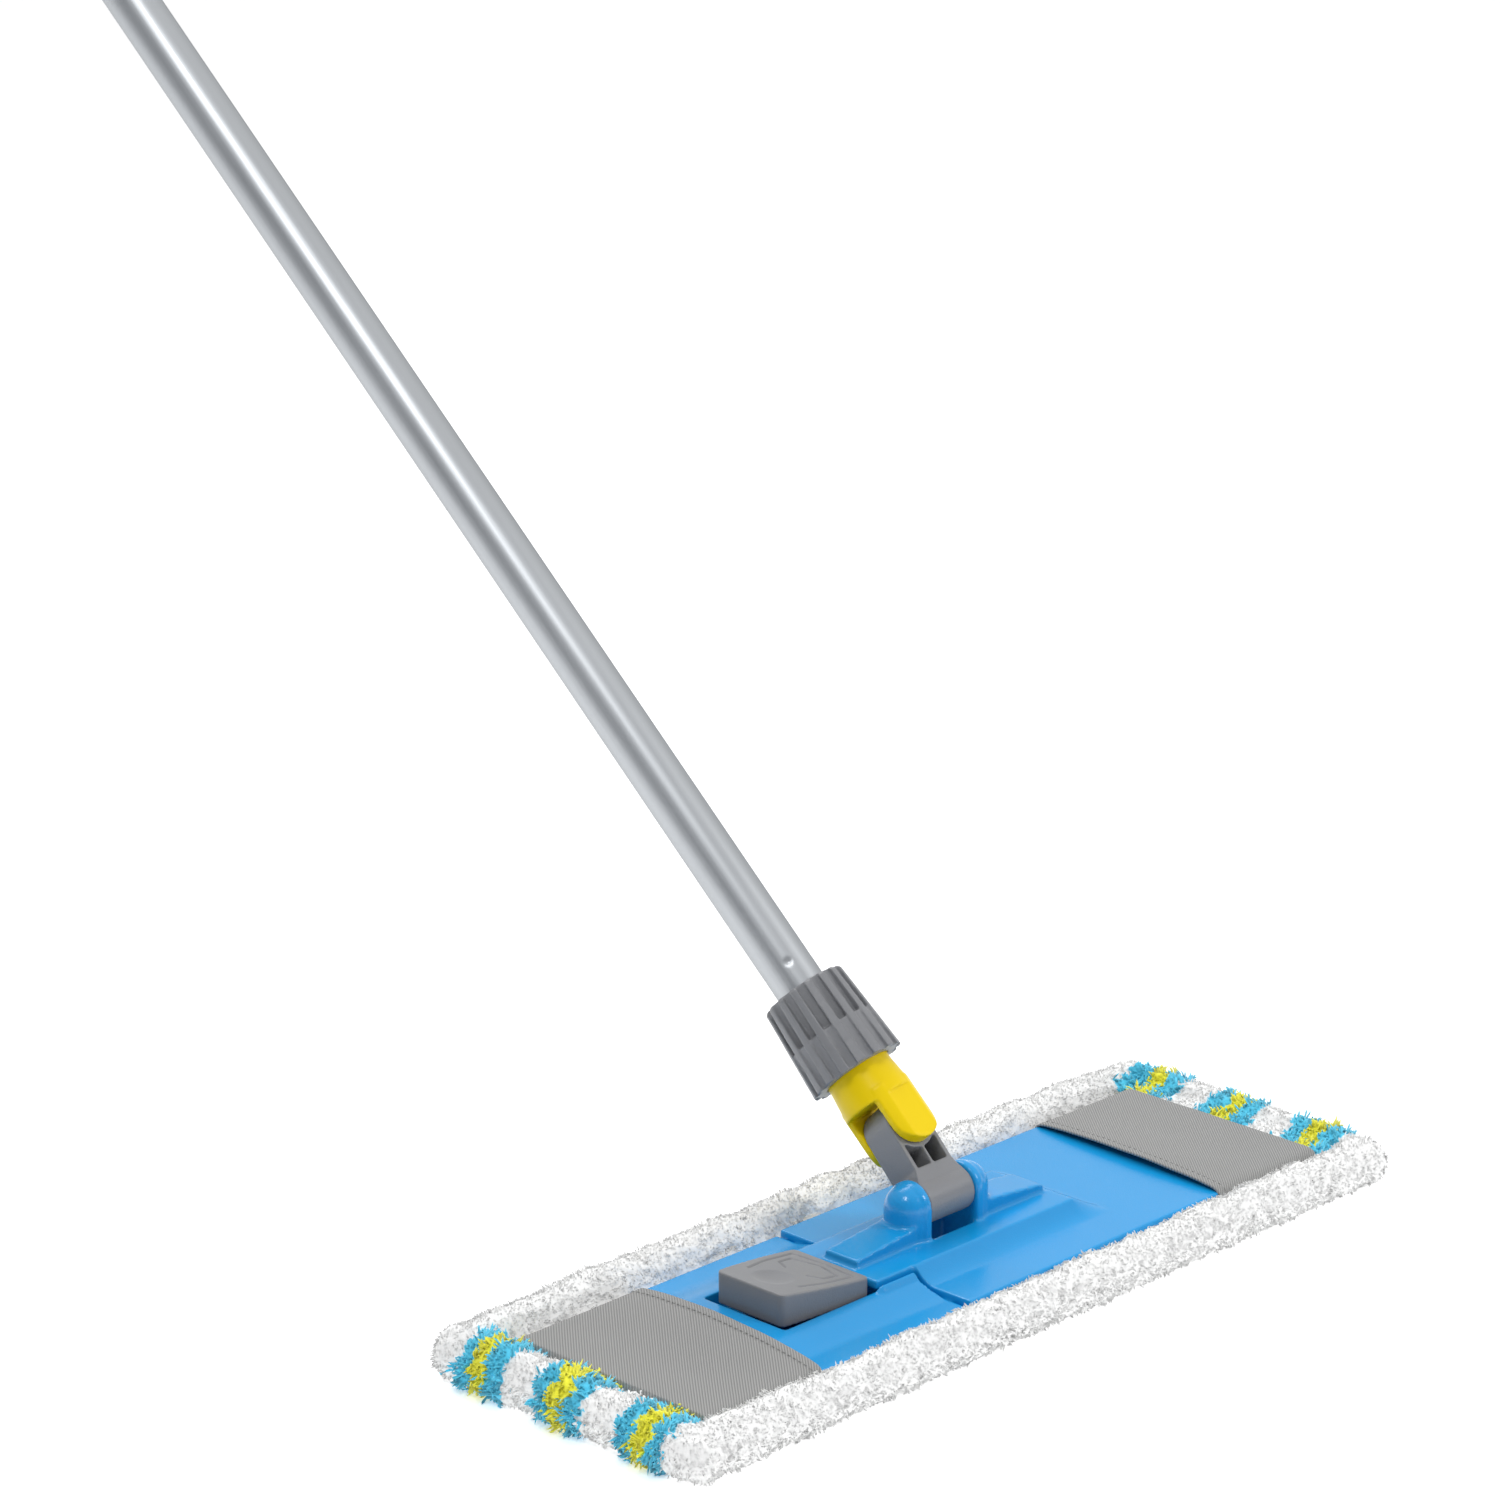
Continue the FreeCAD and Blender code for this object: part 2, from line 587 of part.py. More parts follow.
def fork():
    """Two cheeks below a round neck, and a slit collet above it that grips the tube."""
    half = "cheek_width / 2"
    bars = []
    for name, side in (("Front", -1), ("Back", 1)):
        low, high = span(side, "cheek_gap / 2", "neck_radius")
        bars.append(block(f"Cheek{name}", (f"-{half}", low, "0"), (half, high, "neck_start + 4")))
        bars.append(rod(f"CheekEnd{name}", "y", half, low, high))
    envelope = rod("CheekEnvelope", "z", "cheek_bevel_radius", "-cheek_width", "stub_end")
    cheeks = common("Cheeks", fuse("CheekBars", *bars), envelope)
    neck = rod("Neck", "z", "neck_radius", "slot_end", "neck_end")
    sizes = {"Radius1": "cheek_bevel_radius", "Radius2": "neck_radius", "Height": "neck_flare_end - slot_end"}
    flare = primitive("Cone", "NeckFlare", sizes, ("0", "0", "slot_end"))
    stub = rod("Stub", "z", "stub_radius", "neck_end - 1", "stub_end")
    solid = fuse("ForkSolid", cheeks, neck, flare, stub)
    slot = block("ForkSlot", ("-cheek_width", "-cheek_gap / 2", "-cheek_width"),
                 ("cheek_width", "cheek_gap / 2", "slot_end"))
    socket = rod("Socket", "z", "tube_radius + running_fit", "socket_start", "stub_end + 1")
    reach = "(fork_pin_half + 0.2)"
    pin_bore = rod("CheekBore", "y", "swivel_pin_radius + running_fit", f"-{reach}", reach)
    thin, wide = "slit_width / 2", "stub_radius + 1"
    slits = [block(name, (f"-({x})", f"-({y})", "socket_start + 4"), (x, y, "stub_end + 1"))
             for name, x, y in (("SlitAcross", thin, wide), ("SlitAlong", wide, thin))]
    node(cut("Fork", solid, slot, socket, pin_bore, *slits), "handle_fork", FORK_PLACE)


# ---------------------------------------------------------------- collar nut

def plane(body, role):
    return next(item for item in body.Origin.OriginFeatures if item.Role == role)


def profile(body, name, role, corners):
    """Closed sketch through corners, each an (across, up) pair of formulas that give positive numbers."""
    drawn = body.newObject("Sketcher::SketchObject", name)
    drawn.AttachmentSupport = [(plane(body, role), "")]
    drawn.MapMode = "FlatFace"
    values = [tuple(formula_value(text) for text in corner) for corner in corners]
    count = len(corners)
    for i in range(count):
        start, end = values[i], values[(i + 1) % count]
        drawn.addGeometry(Part.LineSegment(FreeCAD.Vector(*start, 0), FreeCAD.Vector(*end, 0)))
    for i in range(count):
        drawn.addConstraint(Sketcher.Constraint("Coincident", i, 2, (i + 1) % count, 1))
    for i, corner in enumerate(corners):
        for kind, text, value in zip(("DistanceX", "DistanceY"), corner, values[i]):
            number = drawn.addConstraint(Sketcher.Constraint(kind, -1, 1, i, 1, value))
            drawn.setExpression(f"Constraints[{number}]", bound(text))
    return drawn


def formula_value(text):
    """Value of a formula, read back through a scratch cell of the sheet."""
    sheet.set("D1", "=" + text)
    sheet.recompute()
    return float(sheet.get("D1"))


def collar_nut():
    """Tapered ribbed nut: a revolved shell with two depths of groove round it."""
    body = doc.addObject("PartDesign::Body", "CollarBody")
    neck_bore = "neck_radius + collar_clearance"
    stub_bore = "stub_radius + collar_clearance"
    tube_bore = "tube_radius + collar_clearance"
    corners = [
        (neck_bore, "collar_low"), ("collar_radius_low", "collar_low"),
        ("collar_radius_high", "collar_high - collar_chamfer"),
        ("collar_radius_high - collar_chamfer", "collar_high"),
        (tube_bore, "collar_high"), (tube_bore, "stub_end + 2"), (stub_bore, "stub_end"),
        (stub_bore, "neck_end + 1"), (neck_bore, "neck_end + 0.6"),
    ]
    section = profile(body, "CollarSection", "XZ_Plane", corners)
    turned = body.newObject("PartDesign::Revolution", "CollarTurned")
    turned.Profile = section
    turned.ReferenceAxis = (section, ["V_Axis"])
    turned.Angle = 360
    doc.recompute()
    for name, low, high, depth in (("Deep", "collar_step", "collar_high + 1", "groove_deep"),
                                   ("Shallow", "collar_low - 1", "collar_step", "groove_shallow")):
        middle = "(collar_radius_low + (collar_radius_high - collar_radius_low) * " \
                 f"((({low}) + ({high})) / 2 - collar_low) / (collar_high - collar_low))"
        inside, outside = f"{middle} - {depth}", f"{middle} + 6"
        corners = [(inside, "0"), (outside, "0"), (outside, "groove_width"), (inside, "groove_width")]
        drawn = profile(body, f"{name}Outline", "XY_Plane", corners)
        corner = FreeCAD.Vector(0, -cell("groove_width") / 2, formula_value(low))
        drawn.AttachmentOffset = FreeCAD.Placement(corner, FreeCAD.Rotation())
        groove = body.newObject("PartDesign::Pocket", f"{name}Groove")
        groove.Profile = drawn
        groove.setExpression("Length", bound(f"({high}) - ({low})"))
        groove.Reversed = True
        doc.recompute()
        ring = body.newObject("PartDesign::PolarPattern", f"{name}Grooves")
        ring.Originals = [groove]
        ring.Axis = (section, ["V_Axis"])
        ring.Angle = 360
        ring.setExpression("Occurrences", bound("collar_ribs"))
        body.Tip = ring
        doc.recompute()
    node(body, "locking_collar", FORK_PLACE)


# ---------------------------------------------------------------- handle

def ring_pad(body, name, radii, low, high):
    """Pad a ring, or a disc where the inner radius is None, between two heights of a body."""
    drawn = body.newObject("Sketcher::SketchObject", name + "Ring")
    drawn.AttachmentSupport = [(plane(body, "XY_Plane"), "")]
    drawn.MapMode = "FlatFace"
    drawn.AttachmentOffset = FreeCAD.Placement(FreeCAD.Vector(0, 0, formula_value(low)), FreeCAD.Rotation())
    for number, text in enumerate(text for text in radii if text):
        drawn.addGeometry(Part.Circle(FreeCAD.Vector(), FreeCAD.Vector(0, 0, 1), formula_value(text)))
        drawn.addConstraint(Sketcher.Constraint("Coincident", number, 3, -1, 1))
        row = drawn.addConstraint(Sketcher.Constraint("Radius", number, formula_value(text)))
        drawn.setExpression(f"Constraints[{row}]", bound(text))
    raised = body.newObject("PartDesign::Pad", name)
    raised.Profile = drawn
    raised.setExpression("Length", bound(f"({high}) - ({low})"))
    return raised


def handle():
    """Drawn tube, the plug inside its lower end and the cap with the hanging eye."""
    tube = doc.addObject("PartDesign::Body", "TubeBody")
    inner = "tube_radius - tube_wall"
    ring_pad(tube, "TubeWall", ("tube_radius", inner), "tube_start", "tube_end")
    node(tube, "handle_tube", FORK_PLACE)
    plug = doc.addObject("PartDesign::Body", "PlugBody")
    ring_pad(plug, "PlugWall", (inner, f"{inner} - plug_wall"), "tube_start", "plug_end")
    node(plug, "tube_plug", FORK_PLACE)
    sleeve = rod("CapPlug", "z", inner, "tube_end - cap_plug", "tube_end + 1")
    sizes = {"Radius1": "cap_radius", "Radius2": "cap_radius - cap_taper", "Height": "cap_length / 2"}
    head = primitive("Cone", "CapHead", sizes, ("0", "0", "tube_end"))
    half, thick = "eye_width / 2", "eye_thickness / 2"
    eye_height = f"tube_end + cap_length - {half}"
    tab = block("CapTab", (f"-{half}", f"-{thick}", "tube_end + 1"), (half, thick, eye_height))
    crown = rod("CapCrown", "y", half, f"-{thick}", thick, ("0", "0", eye_height))
    hole = rod("CapEye", "y", "eye_radius", "-eye_thickness", "eye_thickness", ("0", "0", eye_height))
    node(cut("HandleCap", fuse("CapSolid", sleeve, head, tab, crown), hole), "handle_end_cap", FORK_PLACE)


# ---------------------------------------------------------------- pad

def pad_section(name, low, high, end, top):
    """Length of pad between two X places: a flat body with a fat roll along the front and the back."""
    front, back = "pad_front + front_roll", "pad_back - back_roll"
    items = [
        block(name + "Slab", (low, front, "0"), (high, back, top)),
        rod(name + "Front", "x", "front_roll", low, high, ("0", front, "front_roll")),
        rod(name + "Back", "x", "back_roll", low, high, ("0", back, "back_roll")),
    ]
    if end:
        edge = "pad_left + " if end < 0 else "pad_right - "
        centre = (edge + "front_roll", "0", "front_roll")
        items.append(rod(name + "End", "y", "front_roll", front, back, centre))
        for corner, size, place in (("FrontCorner", "front_roll", front), ("BackCorner", "back_roll", back)):
            items.append(primitive("Sphere", name + corner, {"Radius": size}, (edge + size, place, size)))
    return fuse(name, *items)


def pad():
    """Pile in three lengths; the middle one bends below the fold seam."""
    node(pad_section("PadLeft", "pad_left + front_roll", "strip_left", -1, "pile_top"), "pad_left_half")
    node(pad_section("PadStrip", "strip_left", "strip_right", 0, "pad_top"), "pad_centre_strip")
    node(pad_section("PadRight", "strip_right", "pad_right - front_roll", 1, "pile_top"), "pad_right_half")


def backing():
    """Woven cloth that carries the pile, between the rolls and on top of it."""
    for label, low, high in (("pad_left_backing", "pad_left + 2 * front_roll", "strip_left"),
                             ("pad_right_backing", "strip_right", "pad_right - 2 * front_roll")):
        cloth = block(label.title().replace("_", ""), (low, "pad_front + 2 * front_roll", "pile_top"),
                      (high, "pad_back - 2 * back_roll", "pad_top"))
        node(cloth, label)


def pocket_form(name, side, grow, mouth, low):
    """Flat sleeve that rises towards its mouth; grow is how far it lies outside the inner faces."""
    top = f"{'right' if side > 0 else 'left'}_top + pocket_slack + {grow}"
    half = f"(holder_width / 2 + pocket_slack + {grow})"
    sleeve_span = span(side, mouth, f"pocket_outer - pocket_cloth + {grow}")
    foot_span = span(side, mouth, f"{mouth} + mouth_run_out + {grow}")
    crest_span = span(side, mouth, f"{mouth} + mouth_flat + {grow}")
    sleeve = block(name + "Sleeve", (sleeve_span[0], f"-{half}", low), (sleeve_span[1], half, top))
    foot = (*foot_span, f"mouth_foot_half + {grow}")
    crest = (*crest_span, f"mouth_half + {grow}")
    raised = ridge(name + "Mouth", foot, crest, f"{top} - 0.5", f"{top} + mouth_lift")
    return fuse(name, sleeve, raised)


def pocket(side):
    """Cloth pocket that wraps the end of one wing, open towards the middle."""
    label = "right_pocket" if side > 0 else "left_pocket"
    name = label.title().replace("_", "")
    outside = pocket_form(name + "Outside", side, "pocket_cloth", "pocket_inner", "pad_top")
    inside = pocket_form(name + "Inside", side, "0", "(pocket_inner - 1)", "(pad_top - 1)")
    node(cut(name, outside, inside), label)


# ---------------------------------------------------------------- build and write

right_wing()
left_wing()
hinge_pins()
pedal()
pedal_hardware()
clevis_pin()
link()
fork()
collar_nut()
handle()
pad()
backing()
pocket(-1)
pocket(1)
doc.recompute()

for item in doc.Objects:
    if "Invalid" in item.State or "Error" in item.State:
        raise RuntimeError(f"{item.Name} did not recompute: {item.State}")
for item in NODES:
    if item.Shape.isNull() or not item.Shape.isValid():
        raise RuntimeError(f"{item.Label} has no valid shape")
os.makedirs("parts", exist_ok=True)
for item in NODES:
    item.Shape.exportStep(f"parts/{item.Label}.step")
    print(item.Label, round(item.Shape.Volume / 1000, 2), "cm3", len(item.Shape.Solids), "solids")
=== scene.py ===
import json
import math

import bpy
import numpy as np
from mathutils import Matrix, Vector, noise
from mathutils.bvhtree import BVHTree


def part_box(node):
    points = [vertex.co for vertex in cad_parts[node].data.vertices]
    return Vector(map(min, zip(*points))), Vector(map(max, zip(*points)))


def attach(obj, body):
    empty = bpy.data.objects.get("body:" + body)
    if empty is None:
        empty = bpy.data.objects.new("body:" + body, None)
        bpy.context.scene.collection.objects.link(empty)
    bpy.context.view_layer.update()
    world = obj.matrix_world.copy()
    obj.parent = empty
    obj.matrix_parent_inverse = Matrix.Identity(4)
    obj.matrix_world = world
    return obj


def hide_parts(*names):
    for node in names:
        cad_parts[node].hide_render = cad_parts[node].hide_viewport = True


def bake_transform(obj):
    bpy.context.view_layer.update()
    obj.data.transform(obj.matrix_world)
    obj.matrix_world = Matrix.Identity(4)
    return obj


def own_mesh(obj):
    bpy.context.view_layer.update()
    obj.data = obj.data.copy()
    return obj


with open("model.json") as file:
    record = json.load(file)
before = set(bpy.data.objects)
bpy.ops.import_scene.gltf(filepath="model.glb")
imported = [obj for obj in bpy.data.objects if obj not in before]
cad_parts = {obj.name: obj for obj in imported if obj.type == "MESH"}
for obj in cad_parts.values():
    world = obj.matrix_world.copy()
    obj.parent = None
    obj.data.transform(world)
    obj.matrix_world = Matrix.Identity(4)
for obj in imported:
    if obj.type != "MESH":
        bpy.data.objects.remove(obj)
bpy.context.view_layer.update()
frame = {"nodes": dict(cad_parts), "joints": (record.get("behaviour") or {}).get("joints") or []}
NODES = frame["nodes"]
JOINTS = {joint["name"]: joint for joint in frame["joints"]}
MM = 0.001
RANDOM = np.random.default_rng(7)


# ---------------------------------------------------------------- mesh helpers

def new_mesh(name, points, faces):
    """Object from a list of points in metres and a list of faces."""
    mesh = bpy.data.meshes.new(name)
    mesh.from_pydata([tuple(p) for p in points], [], [tuple(f) for f in faces])
    mesh.update()
    piece = bpy.data.objects.new(name, mesh)
    bpy.context.scene.collection.objects.link(piece)
    return piece


def copy_nodes(name, *nodes):
    """One new object that holds copies of the meshes of some CAD nodes."""
    points, faces, start = [], [], 0
    for node in nodes:
        mesh = NODES[node].data
        points += [tuple(v.co) for v in mesh.vertices]
        faces += [[i + start for i in face.vertices] for face in mesh.polygons]
        start = len(points)
    return new_mesh(name, points, faces)


def apply_modifiers(piece):
    """Replace the mesh by what its modifiers make of it."""
    graph = bpy.context.evaluated_depsgraph_get()
    mesh = bpy.data.meshes.new_from_object(piece.evaluated_get(graph))
    piece.modifiers.clear()
    old = piece.data
    piece.data = mesh
    bpy.data.meshes.remove(old)


def shade_smooth(piece):
    piece.data.polygons.foreach_set("use_smooth", [True] * len(piece.data.polygons))


def remesh(piece, voxel):
    change = piece.modifiers.new("remesh", "REMESH")
    change.mode = "VOXEL"
    change.voxel_size = voxel
    apply_modifiers(piece)


def relax(piece, factor, rounds):
    change = piece.modifiers.new("relax", "SMOOTH")
    change.factor = factor
    change.iterations = rounds
    apply_modifiers(piece)


def points_of(piece):
    values = np.empty(len(piece.data.vertices) * 3)
    piece.data.vertices.foreach_get("co", values)
    return values.reshape(-1, 3)


def normals_of(piece):
    values = np.empty(len(piece.data.vertices) * 3)
    piece.data.vertices.foreach_get("normal", values)
    return values.reshape(-1, 3)


def move_points(piece, points):
    piece.data.vertices.foreach_set("co", np.asarray(points, float).ravel())
    piece.data.update()


def moulded(name, node, body, voxel, rounds, reshape=None):
    """Injection moulded part: the CAD shape with its edges softened."""
    piece = copy_nodes(name, node)
    remesh(piece, voxel)
    if reshape:
        reshape(piece)
    relax(piece, 0.5, rounds)
    shade_smooth(piece)
    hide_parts(node)
    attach(piece, body)
    return piece


# ---------------------------------------------------------------- material helpers

WAVE = 0.314  # scale of a wave texture whose bands are one metre apart


class Look:
    """A node material with short ways to add textures and bump."""

    def __init__(self, name, colour, roughness, metallic=0.0):
        self.material = bpy.data.materials.new(name)
        self.material.use_nodes = True
        self.tree = self.material.node_tree
        self.shader = self.tree.nodes["Principled BSDF"]
        self.shader.inputs["Base Color"].default_value = (*colour, 1)
        self.shader.inputs["Roughness"].default_value = roughness
        self.shader.inputs["Metallic"].default_value = metallic
        self.place = self.node("ShaderNodeTexCoord").outputs["Object"]
        self.normal = None

    def node(self, kind, **settings):
        made = self.tree.nodes.new(kind)
        for setting, value in settings.items():
            setattr(made, setting, value)
        return made

    def link(self, start, end):
        self.tree.links.new(start, end)

    def turned(self, angle):
        """The object's coordinates turned about Z."""
        made = self.node("ShaderNodeMapping")
        made.inputs["Rotation"].default_value = (0, 0, angle)
        self.link(self.place, made.inputs["Vector"])
        return made.outputs["Vector"]

    def noise(self, scale, detail=4.0, vector=None):
        made = self.node("ShaderNodeTexNoise")
        made.inputs["Scale"].default_value = scale
        made.inputs["Detail"].default_value = detail
        self.link(vector or self.place, made.inputs["Vector"])
        return made.outputs["Fac"]

    def ramp(self, factor, stops):
        made = self.node("ShaderNodeValToRGB")
        ramp = made.color_ramp
        while len(ramp.elements) < len(stops):
            ramp.elements.new(0.5)
        for element, (position, colour) in zip(ramp.elements, stops):
            element.position = position
            element.color = (*colour, 1)
        self.link(factor, made.inputs["Fac"])
        return made.outputs["Color"]

    def bump(self, height, distance, strength=1.0):
        made = self.node("ShaderNodeBump")
        made.inputs["Distance"].default_value = distance
        made.inputs["Strength"].default_value = strength
        self.link(height, made.inputs["Height"])
        if self.normal:
            self.link(self.normal, made.inputs["Normal"])
        self.normal = made.outputs["Normal"]
        self.link(self.normal, self.shader.inputs["Normal"])

    def colour(self, socket):
        self.link(socket, self.shader.inputs["Base Color"])

    def roughness(self, factor, low, high):
        made = self.node("ShaderNodeMapRange")
        made.inputs["To Min"].default_value = low
        made.inputs["To Max"].default_value = high
        self.link(factor, made.inputs["Value"])
        self.link(made.outputs["Result"], self.shader.inputs["Roughness"])


def plastic(name, colour, roughness, grain, depth, shine):
    """Moulded plastic: slight colour drift, spark-eroded grain and uneven gloss."""
    look = Look(name, colour, roughness)
    look.shader.inputs["Specular IOR Level"].default_value = shine
    darker = [c * 0.96 for c in colour]
    lighter = [min(1, c * 1.03) for c in colour]
    drift = look.noise(14, 3)
    look.colour(look.ramp(drift, [(0.35, darker), (0.65, lighter)]))
    fine = look.noise(grain, 2)
    look.roughness(look.noise(60, 3), roughness - 0.05, roughness + 0.07)
    look.bump(fine, depth)
    return look.material


def brushed_metal(name, colour, roughness, axis):
    """Drawn metal: long fine streaks along one direction."""
    look = Look(name, colour, roughness, metallic=1.0)
    look.shader.inputs["Specular Tint"].default_value = (0.6, 0.6, 0.6, 1)
    turn = Vector((0, 0, 1)).rotation_difference(axis).to_euler()
    mapping = look.node("ShaderNodeMapping")
    mapping.vector_type = "TEXTURE"
    mapping.inputs["Rotation"].default_value = turn
    mapping.inputs["Scale"].default_value = (1, 1, 60)
    look.link(look.place, mapping.inputs["Vector"])
    streaks = look.noise(900, 3, mapping.outputs["Vector"])
    cloud = look.noise(7, 4)
    look.colour(look.ramp(cloud, [(0.3, [c * 0.95 for c in colour]), (0.7, colour)]))
    look.roughness(streaks, roughness - 0.06, roughness + 0.10)
    look.bump(streaks, 0.03 * MM)
    return look.material


def pile_look(name, fluff):
    """Microfibre pile in the yarn colours stored on the mesh, with a faint glow in the same colours as
    painted light for light scattered through the pile; fluff adds fine bumps.
    """
    look = Look(name, (0.9, 0.9, 0.89), 0.95)
    look.shader.inputs["Sheen Weight"].default_value = 0.25
    look.shader.inputs["Sheen Roughness"].default_value = 0.6
    yarn = look.node("ShaderNodeAttribute", attribute_name="yarn").outputs["Color"]
    shade = look.ramp(look.noise(420, 3), [(0.25, (0.95, 0.955, 0.955)), (0.6, (1, 1, 1))])
    mix = look.node("ShaderNodeMix", data_type="RGBA", blend_type="MULTIPLY")
    mix.inputs["Factor"].default_value = 1.0
    look.link(yarn, mix.inputs["A"])
    look.link(shade, mix.inputs["B"])
    look.colour(mix.outputs["Result"])
    # painted light: the pile glows faintly in its own colours, in place of light bounced among the fibres
    look.link(mix.outputs["Result"], look.shader.inputs["Emission Color"])
    look.shader.inputs["Emission Strength"].default_value = 0.06
    if fluff:
        look.bump(look.noise(900, 3), 0.0001)
    return look.material


def twill_look(name, colour, angle):
    """Woven twill: fine diagonal ribs crossed by finer yarns, with painted shade in the rib grooves and
    painted light on the rib crests.
    """
    rib_pitch, yarn_pitch, cross_turn = 1.05 * MM, 0.9 * MM, 0.6
    look = Look(name, colour, 0.85)
    look.shader.inputs["Sheen Weight"].default_value = 0.2
    ribs = look.node("ShaderNodeTexWave", wave_type="BANDS", bands_direction="X", wave_profile="SIN")
    ribs.inputs["Scale"].default_value = WAVE / rib_pitch
    ribs.inputs["Distortion"].default_value = 0.2
    ribs.inputs["Detail"].default_value = 1.0
    ribs.inputs["Detail Scale"].default_value = 2.0
    look.link(look.turned(angle), ribs.inputs["Vector"])
    cross = look.node("ShaderNodeTexWave", wave_type="BANDS", bands_direction="Y", wave_profile="SIN")
    cross.inputs["Scale"].default_value = WAVE / yarn_pitch
    look.link(look.turned(angle + cross_turn), cross.inputs["Vector"])
    # painted shade in the rib grooves and painted light on the rib crests, on the same waves as the rib
    # bump
    rib_groove_shade = [c * 0.66 for c in colour]
    rib_crest_light = [min(1, c * 1.15) for c in colour]
    look.colour(look.ramp(ribs.outputs["Fac"], [(0.1, rib_groove_shade), (0.65, rib_crest_light)]))
    look.bump(cross.outputs["Fac"], 0.00010, 0.5)
    look.bump(ribs.outputs["Fac"], 0.00022, 0.9)
    return look.material


def weave_look(name, colour):
    """Plain weave: two sets of fine threads."""
    thread_pitch = 2.0 * MM
    look = Look(name, colour, 0.9)
    look.shader.inputs["Sheen Weight"].default_value = 0.2
    for direction in ("X", "Y"):
        threads = look.node("ShaderNodeTexWave", wave_type="BANDS", bands_direction=direction,
                            wave_profile="SIN")
        threads.inputs["Scale"].default_value = WAVE / thread_pitch
        threads.inputs["Distortion"].default_value = 0.4
        look.link(look.place, threads.inputs["Vector"])
        look.bump(threads.outputs["Fac"], 0.00015, 0.6)
    return look.material


HANDLE_AXIS = Vector(JOINTS["collar_turn"]["axis"])
BLUE = plastic("blue_plastic", (0.007, 0.305, 0.69), 0.18, 1500, 0.00007, 0.5)
GREY = plastic("grey_plastic", (0.215, 0.219, 0.232), 0.38, 1300, 0.00009, 0.5)
YELLOW = plastic("yellow_plastic", (0.86, 0.62, 0.0), 0.33, 900, 0.00003, 0.2)
SILVER = brushed_metal("satin_tube", (0.50, 0.52, 0.54), 0.42, HANDLE_AXIS)
STEEL = brushed_metal("pin_steel", (0.55, 0.55, 0.57), 0.28, Vector((1, 0, 0)))
PILE = pile_look("microfibre_pile", True)
YARN = pile_look("microfibre_yarn", False)
TWILL = twill_look("grey_twill", (0.30, 0.30, 0.295), math.radians(42))
CLOTH = weave_look("white_cloth", (0.86, 0.86, 0.85))


def finish_piece(piece, material):
    piece.data.materials.clear()
    piece.data.materials.append(material)


# ---------------------------------------------------------------- hard parts

FACES_UP = 0.3  # least Z of the normal where a face counts as a top


def smooth_step(values):
    values = np.clip(values, 0, 1)
    return values * values * (3 - 2 * values)


def hollow_slopes(piece):
    """Turn the straight side slopes of the spine into hollow ones that fade into the wing."""
    wing_top, slope_foot = 17, 16.3
    spine_half, slope_width, crest_rise, hollowness = 22.5, 10.0, 6.5, 1.7
    fade_start, fade_length, slope_end = 60, 14, 75
    points, normals = points_of(piece), normals_of(piece)
    x, y, z = points.T / MM
    run = (abs(y) - spine_half) / slope_width
    crest = crest_rise * (1 - np.clip((x - fade_start) / fade_length, 0, 1))
    slope = (normals[:, 2] > FACES_UP) & (z > slope_foot) & (run > 0) & (run < 1) & (x < slope_end)
    points[slope, 2] = (wing_top + crest * (1 - run.clip(0, 1)) ** hollowness)[slope] * MM
    move_points(piece, points)


def soft_island(piece):
    """Blend the raised island of the folding wing softly into its flat ends and sides."""
    wing_top, top_foot, seam = 15, 14.5, -39.6
    island_half, island_fade, island_start, island_ramp, island_rise = 23, 20, -152, 32, 4.3
    shoulder_half, shoulder_width, shoulder_rise, shoulder_start, shoulder_ramp = 24, 11, 7.0, -68, 10
    opening_half, opening_end = 22.9, -113.4
    points, normals = points_of(piece), normals_of(piece)
    x, y, z = points.T / MM
    across = 1 - smooth_step((abs(y) - island_half) / island_fade)
    along = smooth_step((x - island_start) / island_ramp)
    height = wing_top + island_rise * across * along
    fall = np.clip((abs(y) - shoulder_half) / shoulder_width, 0, 1)
    shoulder = wing_top + shoulder_rise * (1 - fall) ** 2
    beside_seam = smooth_step((x - shoulder_start) / shoulder_ramp)
    height = np.maximum(height, wing_top + (shoulder - wing_top) * beside_seam)
    top = (normals[:, 2] > FACES_UP) & (z > top_foot) & (x < seam)
    top &= (abs(y) > opening_half) | (x < opening_end)
    points[top, 2] = height[top] * MM
    move_points(piece, points)


def hard_parts():
    """Moulded parts of the holder and the joint."""
    for name, node, body, voxel, rounds, material, slot, reshape in (
        ("fixed_wing_shell", "right_wing", "holder", 0.8 * MM, 4, BLUE, "blue_plastic", hollow_slopes),
        ("folding_wing_shell", "left_wing", "folding_wing", 0.8 * MM, 4, BLUE, "blue_plastic", soft_island),
        ("link_moulding", "swivel_link", "link", 0.45 * MM, 4, GREY, "grey_plastic", None),
        ("fork_moulding", "handle_fork", "handle", 0.5 * MM, 9, YELLOW, "yellow_plastic", None),
        ("collar_moulding", "locking_collar", "collar", 0.45 * MM, 3, GREY, "grey_plastic", None),
        ("cap_moulding", "handle_end_cap", "handle", 0.6 * MM, 5, GREY, "grey_plastic", None),
    ):
        finish_piece(moulded(name, node, body, voxel, rounds, reshape), material)
    for node in ("fold_hinge_pins", "pedal_pivot_pin", "clevis_pin", "fork_pin"):
        NODES[node].data.materials.clear()
        NODES[node].data.materials.append(STEEL)
    NODES["tube_plug"].data.materials.clear()
    NODES["tube_plug"].data.materials.append(GREY)


def segment_distance(points, start, end):
    """Distance in the XY plane from points to a straight segment."""
    start, end = np.array(start), np.array(end)
    along = end - start
    share = np.clip(((points[:, :2] - start) @ along) / (along @ along), 0, 1)
    return np.linalg.norm(points[:, :2] - start - share[:, None] * along, axis=1)


